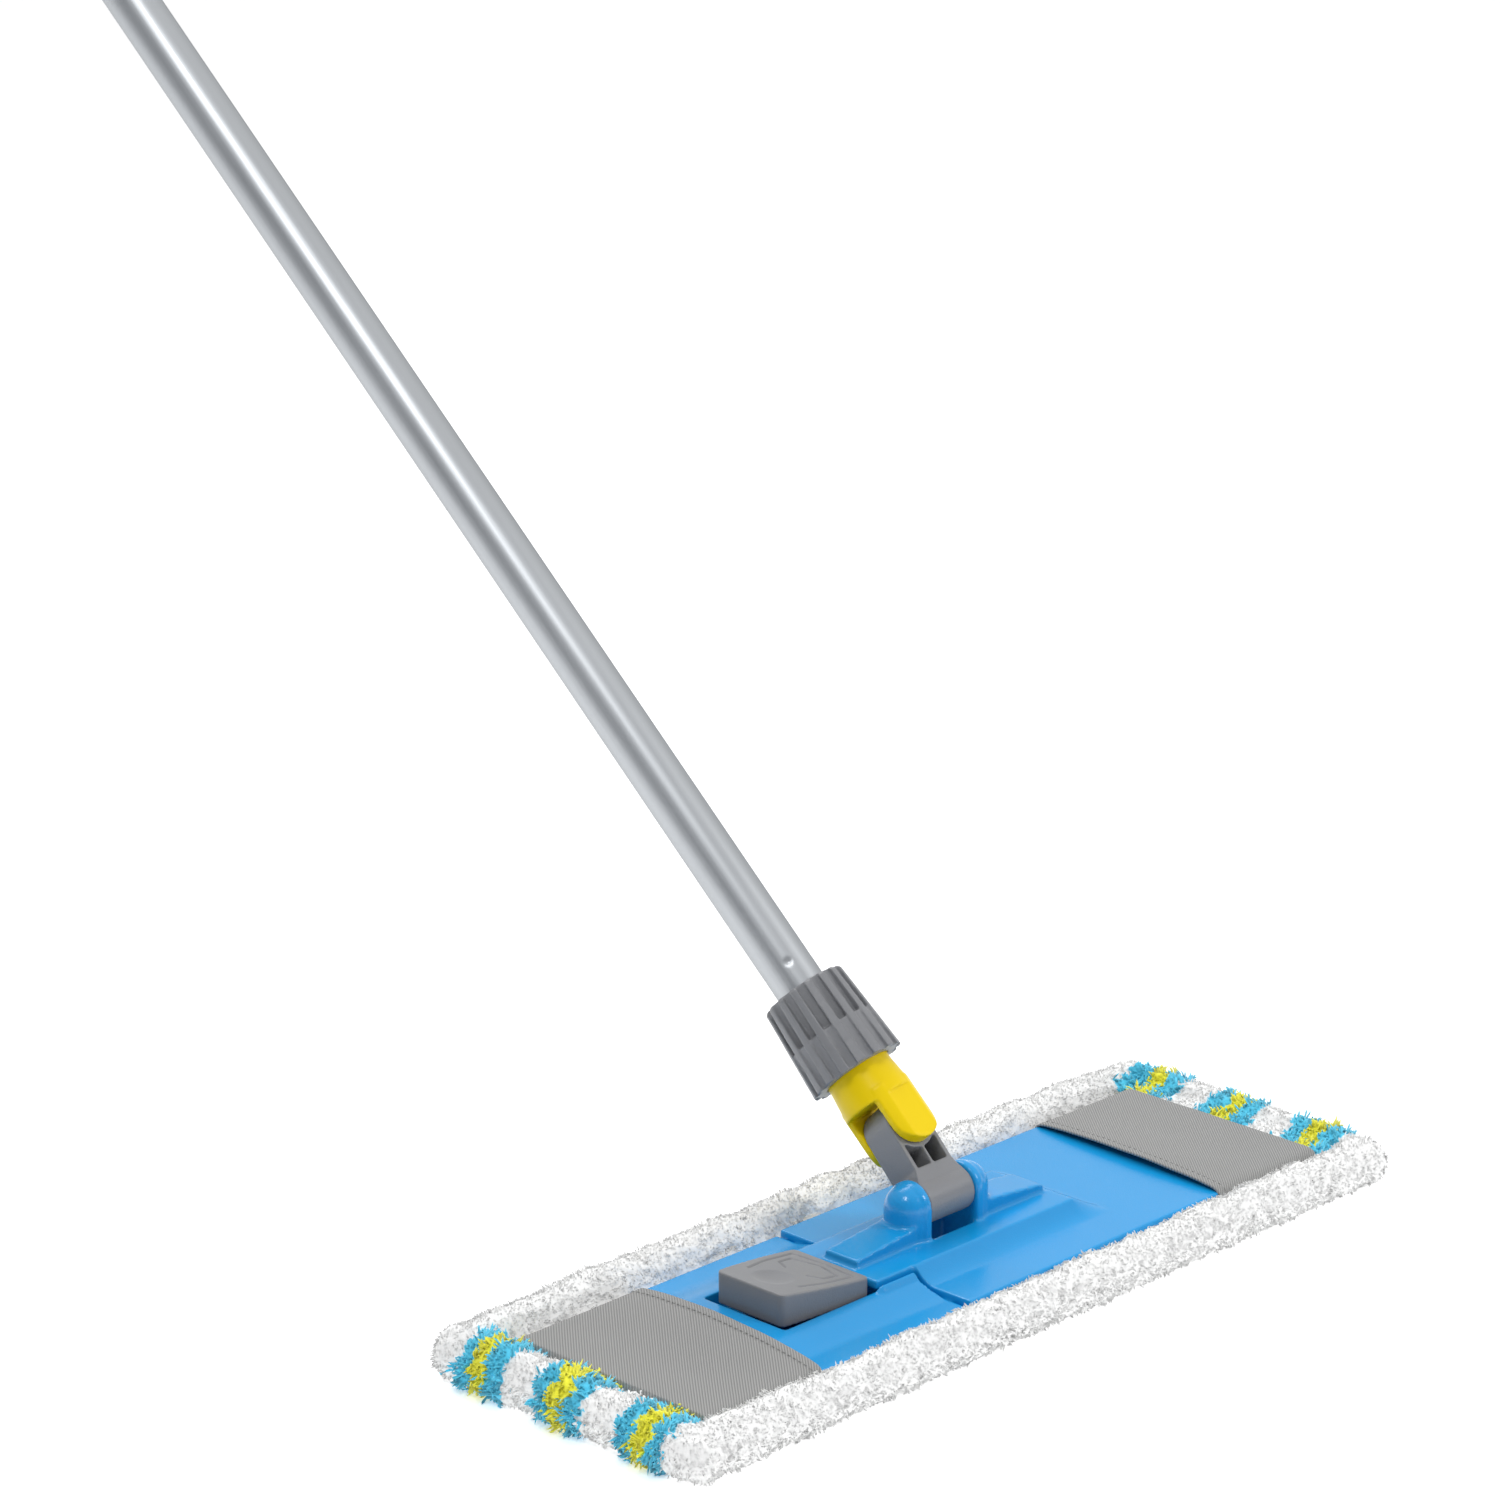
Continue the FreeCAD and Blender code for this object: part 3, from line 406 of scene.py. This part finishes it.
def pedal_piece():
    """Foot pedal with an engraved outline and an engraved arrow that points at the joint."""
    piece = copy_nodes("pedal_moulding", "release_pedal")
    remesh(piece, 0.42 * MM)
    relax(piece, 0.5, 10)
    low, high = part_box("release_pedal")
    points, normals = points_of(piece), normals_of(piece)
    left, right, half = low.x, high.x, high.y
    line_width, line_depth, skirt = 0.5 * MM, 0.8 * MM, 6 * MM
    # each corner is an end of the pedal, millimetres from it, and a share of the half width
    outline = [(left, 14, 0.66), (left, 26, 0.78), (right, -7, 0.80), (right, -5, 0),
               (right, -7, -0.80), (left, 26, -0.78), (left, 14, -0.66)]
    arrow = [(left, 27, 0.30), (left, 30, 0.58), (right, -12, 0.60), (right, -8.5, 0),
             (right, -12, -0.60), (left, 30, -0.58), (left, 27, -0.30)]
    depth = np.zeros(len(points))
    for path in (outline, arrow):
        corners = [(end + offset * MM, share * half) for end, offset, share in path]
        for start, end in zip(corners, corners[1:]):
            near = segment_distance(points, start, end)
            depth = np.maximum(depth, np.exp(-(near / line_width) ** 2))
    top = (normals[:, 2] > 0.8) & (points[:, 2] > low.z + skirt)
    points[top, 2] -= depth[top] * line_depth
    move_points(piece, points)
    shade_smooth(piece)
    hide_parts("release_pedal")
    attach(piece, "pedal")
    finish_piece(piece, GREY)


def pedal_spring():
    """Coil spring under the pedal, carried by the folding wing."""
    piece = copy_nodes("spring_coil", "pedal_return_spring")
    shade_smooth(piece)
    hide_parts("pedal_return_spring")
    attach(piece, "folding_wing")
    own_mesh(piece)
    finish_piece(piece, STEEL)


def handle_directions():
    """Unit vectors of the handle: to its side, to its back, and along it."""
    along = HANDLE_AXIS.normalized()
    back = -Vector(JOINTS["handle_tilt"]["axis"]).normalized()
    side = back.cross(along).normalized()
    return side, back, along


def handle_tube():
    """Drawn tube with four crimps that hold the plug inside it."""
    side, back, along = handle_directions()
    centre = Vector(JOINTS["handle_tilt"]["pos_m"])
    corners = [v.co - centre for v in NODES["handle_tube"].data.vertices]
    heights = [c.dot(along) for c in corners]
    radius = max((c - along * c.dot(along)).length for c in corners)
    low, high = min(heights), max(heights)
    crimps, crimp_height, crimp_turn = 4, 81 * MM, math.radians(-126)
    crimp_depth, crimp_radius = 0.7 * MM, 1.3 * MM
    thickness, around = 1.0 * MM, 96
    levels = [low]
    # rows are close together at the crimps and far apart elsewhere
    for start, end, spacing in ((low + 2 * MM, 70 * MM, 6 * MM), (71 * MM, 91 * MM, 0.6 * MM),
                                (94 * MM, high - 2 * MM, 12 * MM)):
        levels += list(np.arange(start, end, spacing))
    levels.append(high)
    points = []
    for wall in (0.0, thickness):
        for level in levels:
            for i in range(around):
                angle = 2 * math.pi * i / around
                dent = 0.0
                for k in range(crimps):
                    turn = (angle - crimp_turn - k * math.pi / 2 + math.pi) % (2 * math.pi) - math.pi
                    reach = math.hypot(turn * radius, level - crimp_height)
                    dent += crimp_depth * math.exp(-(reach / crimp_radius) ** 2)
                r = radius - wall - dent
                offset = side * (r * math.cos(angle)) + back * (r * math.sin(angle))
                points.append(centre + along * level + offset)
    faces, rows = [], len(levels)
    for layer in range(2):
        for j in range(rows - 1):
            for i in range(around):
                a = layer * rows * around + j * around + i
                b = layer * rows * around + j * around + (i + 1) % around
                quad = [a, b, b + around, a + around]
                faces.append(quad if layer == 0 else quad[::-1])
    for j in (0, rows - 1):
        for i in range(around):
            a, b = j * around + i, j * around + (i + 1) % around
            c, d = rows * around + b, rows * around + a
            faces.append([a, d, c, b] if j == 0 else [a, b, c, d])
    piece = new_mesh("tube_skin", points, faces)
    shade_smooth(piece)
    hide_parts("handle_tube")
    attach(piece, "handle")
    finish_piece(piece, SILVER)


# ---------------------------------------------------------------- pad

WHITE = np.array((0.90, 0.90, 0.89))
CYAN = np.array((0.09, 0.64, 0.90))
LIME = np.array((0.94, 0.91, 0.04))
BAND_CENTRES = (48 * MM, 4 * MM, -41 * MM)
BAND_HALF = 12.5 * MM
CORE_HALF = 4.5 * MM
PAD_LOW, PAD_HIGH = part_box("pad_left_half")[0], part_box("pad_right_half")[1]
POCKET_END = (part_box("left_pocket")[0].x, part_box("right_pocket")[1].x)


def wobble(point, scale, seed):
    return noise.noise(Vector(point) / scale + Vector((seed, 0, 0)))


def yarn_colour(point):
    """Colour of the pile at a point: three striped bands underneath and over both ends."""
    x, y, z = point
    underside = z < 3.0 * MM
    past_pockets = x < POCKET_END[0] - 2 * MM or x > POCKET_END[1] + 1 * MM
    if not (underside or past_pockets):
        return WHITE
    shift = 4.0 * MM * wobble(point, 6 * MM, 3.0) + 2.2 * MM * wobble(point, 2 * MM, 8.0)
    for centre in BAND_CENTRES:
        away = abs(y + shift - centre)
        if away < CORE_HALF:
            return LIME
        if away < BAND_HALF:
            return CYAN
    return WHITE


def swell(piece):
    """Let the stuffed pad swell as cloth does, by no more than the cap."""
    steps, cap = 14, 1.5 * MM
    start = points_of(piece).copy()
    cloth = piece.modifiers.new("cloth", "CLOTH")
    cloth.settings.quality = 4
    cloth.settings.mass = 0.15
    cloth.settings.tension_stiffness = 12
    cloth.settings.compression_stiffness = 12
    cloth.settings.bending_stiffness = 0.6
    cloth.settings.use_pressure = True
    cloth.settings.uniform_pressure_force = 3.0
    cloth.settings.effector_weights.gravity = 0
    scene = bpy.context.scene
    for step in range(1, steps + 1):
        scene.frame_set(step)
    apply_modifiers(piece)
    scene.frame_set(1)
    moved = points_of(piece) - start
    length = np.linalg.norm(moved, axis=1, keepdims=True)
    move_points(piece, start + moved * np.minimum(1, cap / np.maximum(length, 1e-9)))


def add_roll(piece, place, radius):
    """Join a low roll across the pad, which fills the step between a pocket and the pad's end."""
    ends = (PAD_LOW.y + 10 * MM, PAD_HIGH.y - 12 * MM)
    around, height = 16, 8 * MM
    angles = [2 * math.pi * k / around for k in range(around)]
    circle = [(place + radius * math.cos(angle), height + radius * math.sin(angle)) for angle in angles]
    points = [v.co.copy() for v in piece.data.vertices]
    faces = [list(face.vertices) for face in piece.data.polygons]
    base = len(points)
    points += [(x, y, z) for y in ends for x, z in circle]
    faces += [[base + k, base + (k + 1) % around, base + around + (k + 1) % around, base + around + k]
              for k in range(around)]
    faces += [[base + k for k in reversed(range(around))], [base + around + k for k in range(around)]]
    mesh = bpy.data.meshes.new(piece.name)
    mesh.from_pydata([tuple(p) for p in points], [], faces)
    old, piece.data = piece.data, mesh
    bpy.data.meshes.remove(old)


def pad_body():
    """Plush pad: rolled edges all round, lumpy pile and flat underside."""
    roll_radius, roll_offset, floor_gap = 6.2 * MM, 6.8 * MM, 0.3 * MM
    piece = copy_nodes("pad_stuffing", "pad_left_half", "pad_centre_strip", "pad_right_half")
    for place in (POCKET_END[0] - roll_offset, POCKET_END[1] + roll_offset):
        add_roll(piece, place, roll_radius)
    remesh(piece, 2.6 * MM)
    swell(piece)
    remesh(piece, 1.5 * MM)
    relax(piece, 0.5, 3)
    change = piece.modifiers.new("finer", "SUBSURF")
    change.levels = 1
    change.render_levels = 1
    apply_modifiers(piece)
    points, normals = points_of(piece), normals_of(piece)
    for i, point in enumerate(points):
        lump = 1.3 * wobble(point, 17 * MM, 1.0) + 1.0 * wobble(point, 6 * MM, 5.0)
        lump += 0.45 * wobble(point, 2.6 * MM, 9.0)
        points[i] += normals[i] * lump * MM
    points[:, 2] = np.maximum(points[:, 2], floor_gap)
    move_points(piece, points)
    return piece


def sample_surface(piece, count, keep):
    """Random points on the faces with their normals, where keep(point, normal) is true."""
    mesh = piece.data
    areas = np.array([face.area for face in mesh.polygons])
    chosen = RANDOM.choice(len(areas), size=count, p=areas / areas.sum())
    found = []
    for index in chosen:
        face = mesh.polygons[int(index)]
        weights = RANDOM.random(len(face.vertices)) + 0.05
        weights /= weights.sum()
        corner = [mesh.vertices[v].co for v in face.vertices]
        point = sum((c * w for c, w in zip(corner, weights)), Vector())
        if keep(point, face.normal):
            found.append((point, face.normal.copy()))
    return found


def strand(points, faces, path, radius, sides):
    """Add a strand along a path of points, pointed at its far end."""
    base = len(points)
    for step, centre in enumerate(path[:-1]):
        ahead = (path[step + 1] - path[max(step - 1, 0)]).normalized()
        across = ahead.orthogonal().normalized()
        other = ahead.cross(across)
        for k in range(sides):
            angle = 2 * math.pi * k / sides
            points.append(centre + (across * math.cos(angle) + other * math.sin(angle)) * radius)
    points.append(path[-1])
    rings = len(path) - 1
    for step in range(rings - 1):
        for k in range(sides):
            a, b = base + step * sides + k, base + step * sides + (k + 1) % sides
            faces.append([a, b, b + sides, a + sides])
    last, tip = base + (rings - 1) * sides, base + rings * sides
    for k in range(sides):
        faces.append([last + k, last + (k + 1) % sides, tip])
    faces.append([base + k for k in reversed(range(sides))])


def fibres(body, points, faces, colours, facing):
    """Short pile fibres that stand off the pad, lean in small clumps and shade as the pad does."""
    front, back, top = -51 * MM, 55 * MM, 12 * MM

    def outside(point, normal):
        below_holder = (front < point.y < back and point.z < top
                        and POCKET_END[0] < point.x < POCKET_END[1])
        return normal.z > -0.8 and not below_holder

    floor_gap, clump_size = 0.2 * MM, 4.0 * MM
    count = 100000
    for point, normal in sample_surface(body, count, outside):
        clump = noise.noise_vector(point / clump_size) * 1.4
        lean = clump + Vector(RANDOM.normal(0, 0.25, 3))
        colour = yarn_colour(point)
        coloured = colour is not WHITE
        length = RANDOM.uniform(1.6, 3.4) * MM if coloured else RANDOM.uniform(0.7, 1.5) * MM
        start = len(points)
        path = [point - normal * 0.5 * MM, point + (normal + lean * 0.3) * length * 0.35,
                point + (normal + lean * 0.7) * length * 0.7, point + (normal * 0.8 + lean) * length]
        for step in path:
            step.z = max(step.z, floor_gap)
        strand(points, faces, path, (0.40 if coloured else 0.20) * MM, 4)
        added = len(points) - start
        colours += [colour * RANDOM.uniform(0.92 if coloured else 0.98, 1.02)] * added
        facing += [normal] * added


def end_tufts(points, faces, colours):
    """Loose curly yarn over both ends, in bands of colour with white between them."""
    overhang, floor_gap, sunk_root = 4 * MM, 1.0 * MM, 1.5 * MM
    for end, edge, outer in ((-1, POCKET_END[0], PAD_LOW.x), (1, POCKET_END[1], PAD_HIGH.x)):
        reach = abs(outer - edge)
        for _ in range(3000):
            y = RANDOM.uniform(-58, 64) * MM
            share = RANDOM.random() ** 1.3
            height = (13.0 + 3.0 * share - 7.0 * share ** 3) * MM
            root = Vector((edge + end * share * reach * 0.9, y, height))
            colour = yarn_colour((root.x + end * 8 * MM, y + RANDOM.normal(0, 1.6) * MM, root.z))
            coloured = colour is not WHITE
            length = RANDOM.uniform(4, 9 if coloured else 5) * MM
            outward = end * RANDOM.uniform(-0.5, 1.1)
            heading = Vector((outward, RANDOM.normal(0, 0.7), RANDOM.uniform(0.0, 0.7)))
            heading.normalize()
            sink = Vector((end * 0.3, 0, -1)) * length * 0.45
            start = len(points)
            path = []
            for share_along in (0.0, 0.2, 0.4, 0.6, 0.8, 1.0):
                along = heading * length * share_along + sink * share_along ** 2
                curl = noise.noise_vector(root / (3 * MM) + along / (2.2 * MM)) * 1.6 * MM * share_along
                path.append(root + along + curl - Vector((0, 0, sunk_root)) * (1 - share_along))
            for step in path:
                step.x = min(max(step.x, PAD_LOW.x - overhang), PAD_HIGH.x + overhang)
                step.z = max(step.z, floor_gap)
            strand(points, faces, path, RANDOM.uniform(0.42, 0.7) * MM, 5)
            tone = RANDOM.uniform(0.72 if coloured else 0.97, 1.06)
            colours += [colour * tone] * (len(points) - start)


def colour_yarn(piece, colours):
    """Store the yarn colour of each point on the mesh."""
    attribute = piece.data.attributes.new("yarn", "FLOAT_COLOR", "POINT")
    flat = np.ones((len(colours), 4), np.float32)
    flat[:, :3] = np.clip(np.array(colours), 0, 1)
    attribute.data.foreach_set("color", flat.ravel())


def bend_at_fold(piece):
    """Bake a piece's transform into its mesh; the piece is attached to neither wing."""
    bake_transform(piece)


def pad():
    """The whole pad as one stuffed piece with its pile standing on it."""
    body = pad_body()
    colour_yarn(body, [yarn_colour(vertex.co) for vertex in body.data.vertices])
    shade_smooth(body)
    points, faces, colours, facing = [], [], [], []
    fibres(body, points, faces, colours, facing)
    pile = new_mesh("pad_pile", points, faces)
    shade_smooth(pile)
    pile.data.normals_split_custom_set_from_vertices([tuple(normal) for normal in facing])
    colour_yarn(pile, colours)
    points, faces, colours = [], [], []
    end_tufts(points, faces, colours)
    tufts = new_mesh("end_yarn", points, faces)
    shade_smooth(tufts)
    colour_yarn(tufts, colours)
    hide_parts("pad_left_half", "pad_centre_strip", "pad_right_half")
    finish_piece(body, PILE)
    finish_piece(pile, YARN)
    finish_piece(tufts, YARN)
    bend_at_fold(body)
    bend_at_fold(pile)
    bend_at_fold(tufts)


def border_edges(along, across):
    """Pairs of neighbours round the border of a grid of points."""
    row = across + 1
    border = list(range(row)) + [i * row + across for i in range(1, along + 1)]
    border += [along * row + j for j in range(across - 1, -1, -1)]
    border += [i * row for i in range(along - 1, 0, -1)]
    return zip(border, border[1:] + border[:1])


def backing():
    """Woven cloth below the holder, with its edges turned up against the rolls."""
    left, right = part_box("pad_left_backing"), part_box("pad_right_backing")
    low, high = left[0], right[1]
    along, across = 196, 76
    edge, overhang, sunk, thickness = 4.5 * MM, 0.5 * MM, 0.1 * MM, 0.5 * MM
    points, faces = [], []
    for layer in (0, 1):
        for i in range(along + 1):
            x = low.x + (high.x - low.x) * i / along
            for j in range(across + 1):
                y = low.y - overhang + (high.y - low.y + 2 * overhang) * j / across
                outer = max(0.0, abs(y - (low.y + high.y) / 2) - (high.y - low.y) / 2 + edge)
                rise = 1.15 * outer * outer / edge
                ripple = 0.25 * MM * wobble((x, y, 0), 12 * MM, 4.0)
                points.append((x, y, high.z - sunk + rise + ripple - layer * thickness))
    row, block = across + 1, (along + 1) * (across + 1)
    for i in range(along):
        for j in range(across):
            a = i * row + j
            quad = [a + row, a + row + 1, a + 1, a]
            faces += [quad, [q + block for q in reversed(quad)]]
    for a, b in border_edges(along, across):
        faces.append([a, b, b + block, a + block])
    piece = new_mesh("backing_cloth", points, faces)
    shade_smooth(piece)
    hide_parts("pad_left_backing", "pad_right_backing")
    finish_piece(piece, CLOTH)
    bend_at_fold(piece)


# ---------------------------------------------------------------- pockets

WALL_ROWS = 10  # rows of points that close the outer end of a pocket
SEAM_PLACE = 5.0 * MM  # from the mouth of a pocket to its row of stitches


def pocket_ray(surface, x, share):
    """Point of the CAD pocket's outside at X and a share from -1, the front edge, to 1, the back edge."""
    flat_half, flat_share, centre_height = 47 * MM, 0.86, 10 * MM
    turn_under, above, away = math.radians(104), 60 * MM, 50 * MM
    y = share * flat_half / flat_share
    if abs(share) <= flat_share:
        hit = surface.ray_cast(Vector((x, y, above)), Vector((0, 0, -1)))[0]
    else:
        angle = (abs(share) - flat_share) / (1 - flat_share) * turn_under
        sign = math.copysign(1, share)
        aim = Vector((0, sign * math.sin(angle), math.cos(angle)))
        hit = surface.ray_cast(Vector((x, sign * flat_half, centre_height)) + aim * away, -aim)[0]
    return hit


def pocket_grid(node, inner, outer, along, across):
    """Rows of points over the outside of a pocket, smoothed as cloth would be."""
    mesh = NODES[node].data
    shapes = [list(face.vertices) for face in mesh.polygons]
    surface = BVHTree.FromPolygons([v.co for v in mesh.vertices], shapes)
    side = math.copysign(1, outer)
    open_rows = along - WALL_ROWS
    grid = np.zeros((along + 1, across + 1, 3))
    for i in range(along + 1):
        x = inner + (outer - inner) * (0.01 + 0.98 * min(1, i / open_rows))
        for j in range(across + 1):
            grid[i, j] = pocket_ray(surface, x, 2 * j / across - 1)
    top, lift = (16.5 * MM, 3.8 * MM) if side < 0 else (18.5 * MM, 2.0 * MM)
    arch_half, fade_length, wall_foot, wall_bulge = 53 * MM, 44 * MM, 8 * MM, 1.5 * MM
    hem_width, hem_fade, hem_thickness = 4.6, 0.8, 0.5 * MM
    seam_width, seam_depth = 0.5 * MM, 0.35 * MM
    grid[:, :, 2] = np.minimum(grid[:, :, 2], top)
    for _ in range(6):
        grid[:, 1:-1] = (grid[:, 2:] + grid[:, :-2] + 2 * grid[:, 1:-1]) / 4
    share = np.linspace(-1, 1, across + 1)
    width = abs(outer - inner)
    arch = (1 - np.clip(abs(grid[:, :, 1]) / arch_half, 0, 1) ** 2) ** 0.85
    travel = np.minimum(np.arange(along + 1) / open_rows, 1) * width
    fade = 1 - smooth_step(travel / fade_length)
    grid[:, :, 2] += lift * arch * fade[:, None]
    for step in range(WALL_ROWS + 1):
        turn = step / WALL_ROWS * math.pi / 2
        row = grid[open_rows + step]
        row[:, 0] += side * wall_bulge * math.sin(turn)
        row[:, 2] = wall_foot + (row[:, 2] - wall_foot) * math.cos(turn)
    for i in range(along + 1):
        fold = hem_thickness * (1 - smooth_step((travel[i] / MM - hem_width) / hem_fade))
        seam = seam_depth * math.exp(-((travel[i] - SEAM_PLACE) / seam_width) ** 2)
        for j in range(across + 1):
            x, y, z = grid[i, j]
            ripple = 0.22 * MM * wobble((x, y, 0), 17 * MM, 2.0 + side)
            grid[i, j, 2] = z + (fold - seam + ripple) * (1 - abs(share[j]) ** 6)
            grid[i, j, 0] = x + 2.5 * MM * share[j] * (1 - i / along)
    return grid


def pocket(side):
    """Sewn twill pocket over one end, with a folded hem and a row of stitches."""
    node = "right_pocket" if side > 0 else "left_pocket"
    low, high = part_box(node)
    inner, outer = (low.x, high.x) if side > 0 else (high.x, low.x)
    along, across, thickness = 80, 150, 0.9 * MM
    grid = pocket_grid(node, inner, outer, along, across)
    cloth = np.array([[Vector(grid[i, j]) for j in range(across + 1)] for i in range(along + 1)])
    towards = np.gradient(cloth, axis=0), np.gradient(cloth, axis=1)
    facing = np.cross(towards[0], towards[1]) * side
    facing /= np.linalg.norm(facing, axis=2, keepdims=True)
    inside = cloth - facing * thickness
    points = list(cloth.reshape(-1, 3)) + list(inside.reshape(-1, 3))
    faces, row, block = [], across + 1, (along + 1) * (across + 1)
    for i in range(along):
        for j in range(across):
            a = i * row + j
            quad = [a, a + row, a + row + 1, a + 1] if side > 0 else [a, a + 1, a + row + 1, a + row]
            faces += [quad, [q + block for q in reversed(quad)]]
    for a, b in border_edges(along, across):
        quad = [a, b, b + block, a + block]
        faces.append(quad if side > 0 else quad[::-1])
    piece = new_mesh("pocket_cloth_right" if side > 0 else "pocket_cloth_left", points, faces)
    shade_smooth(piece)
    body = "holder" if side > 0 else "folding_wing"
    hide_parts(node)
    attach(piece, body)
    finish_piece(piece, TWILL)
    threads = stitches(side, cloth, facing, abs(outer - inner))
    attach(threads, body)
    finish_piece(threads, TWILL)


def stitches(side, cloth, facing, width):
    """Row of lockstitches along the hem."""
    points, faces = [], []
    row = round(SEAM_PLACE / width * (len(cloth) - 1 - WALL_ROWS))
    line, out = cloth[row], facing[row]
    travelled = np.concatenate([[0], np.cumsum(np.linalg.norm(np.diff(line, axis=0), axis=1))])
    pitch, length, proud, sunk = 3.0 * MM, 2.2 * MM, 0.18 * MM, 0.12 * MM
    for k in range(int(travelled[-1] / pitch)):
        path = []
        for step in (0, 0.5, 1.0):
            at = k * pitch + step * length
            spot = [np.interp(at, travelled, line[:, axis]) for axis in range(3)]
            normal = [np.interp(at, travelled, out[:, axis]) for axis in range(3)]
            path.append(Vector(spot) + Vector(normal) * (proud if step == 0.5 else -sunk))
        strand(points, faces, path, 0.25 * MM, 6)
    piece = new_mesh("stitching_right" if side > 0 else "stitching_left", points, faces)
    shade_smooth(piece)
    return piece


# ---------------------------------------------------------------- stage

def stage():
    """Pale floor, soft studio lights and the view transform."""
    half = 12
    corners = [(-half, -half, 0), (half, -half, 0), (half, half, 0), (-half, half, 0)]
    floor = new_mesh("floor", corners, [(0, 1, 2, 3)])
    look = Look("floor_paint", (0.93, 0.93, 0.93), 0.7)
    look.bump(look.noise(40, 3), 0.2 * MM)
    look.shader.inputs["Emission Color"].default_value = (1, 1, 1, 1)
    look.shader.inputs["Emission Strength"].default_value = 0.36
    floor.data.materials.append(look.material)
    world = bpy.data.worlds.new("studio")
    world.use_nodes = True
    tree = world.node_tree
    direction = tree.nodes.new("ShaderNodeTexCoord")
    towards = tree.nodes.new("ShaderNodeVectorMath")
    towards.operation = "DOT_PRODUCT"
    towards.inputs[1].default_value = (0.50, 0.30, 0.80)
    tones = tree.nodes.new("ShaderNodeValToRGB")
    tones.color_ramp.elements[0].position = 0.0
    tones.color_ramp.elements[0].color = (0.34, 0.35, 0.37, 1)
    tones.color_ramp.elements[1].position = 0.75
    tones.color_ramp.elements[1].color = (1, 1, 1, 1)
    tree.links.new(direction.outputs["Generated"], towards.inputs[0])
    tree.links.new(towards.outputs["Value"], tones.inputs["Fac"])
    tree.links.new(tones.outputs["Color"], tree.nodes["Background"].inputs["Color"])
    tree.nodes["Background"].inputs["Strength"].default_value = 0.85
    bpy.context.scene.world = world
    target = Vector((0, 0.1, 0.1))
    for name, place, size, power in (
        ("key", (-1.05, -0.40, 2.0), 0.4, 12),
        ("fill", (1.0, -1.55, 1.3), 0.4, 11),
        ("top", (0.6, 1.5, 2.3), 1.4, 24),
    ):
        data = bpy.data.lights.new(name, "AREA")
        data.shape = "SQUARE"
        data.size = size
        data.energy = power
        lamp = bpy.data.objects.new(name, data)
        lamp.location = place
        lamp.rotation_euler = (target - Vector(place)).to_track_quat("-Z", "Y").to_euler()
        bpy.context.scene.collection.objects.link(lamp)
    bpy.context.scene.view_settings.view_transform = "Standard"


def camera():
    """Long lens that looks down on the mop from its front left."""
    yaw, pitch = math.radians(-45.84), math.radians(16.66)
    distance, shift_right, shift_up = 1850.8 * MM, 76.18 * MM, 216.75 * MM
    ahead = Vector((-math.sin(yaw) * math.cos(pitch), math.cos(yaw) * math.cos(pitch), -math.sin(pitch)))
    right = Vector((math.cos(yaw), math.sin(yaw), 0))
    up = right.cross(ahead)
    data = bpy.data.cameras.new("camera")
    data.sensor_width = 36
    data.lens = 108
    eye = bpy.data.objects.new("camera", data)
    eye.location = up * shift_up - right * shift_right - ahead * distance
    eye.rotation_euler = Matrix((right, up, -ahead)).transposed().to_euler()
    bpy.context.scene.collection.objects.link(eye)
    bpy.context.scene.camera = eye


camera()
stage()
hard_parts()
pedal_piece()
pedal_spring()
handle_tube()
pad()
backing()
pocket(-1)
pocket(1)
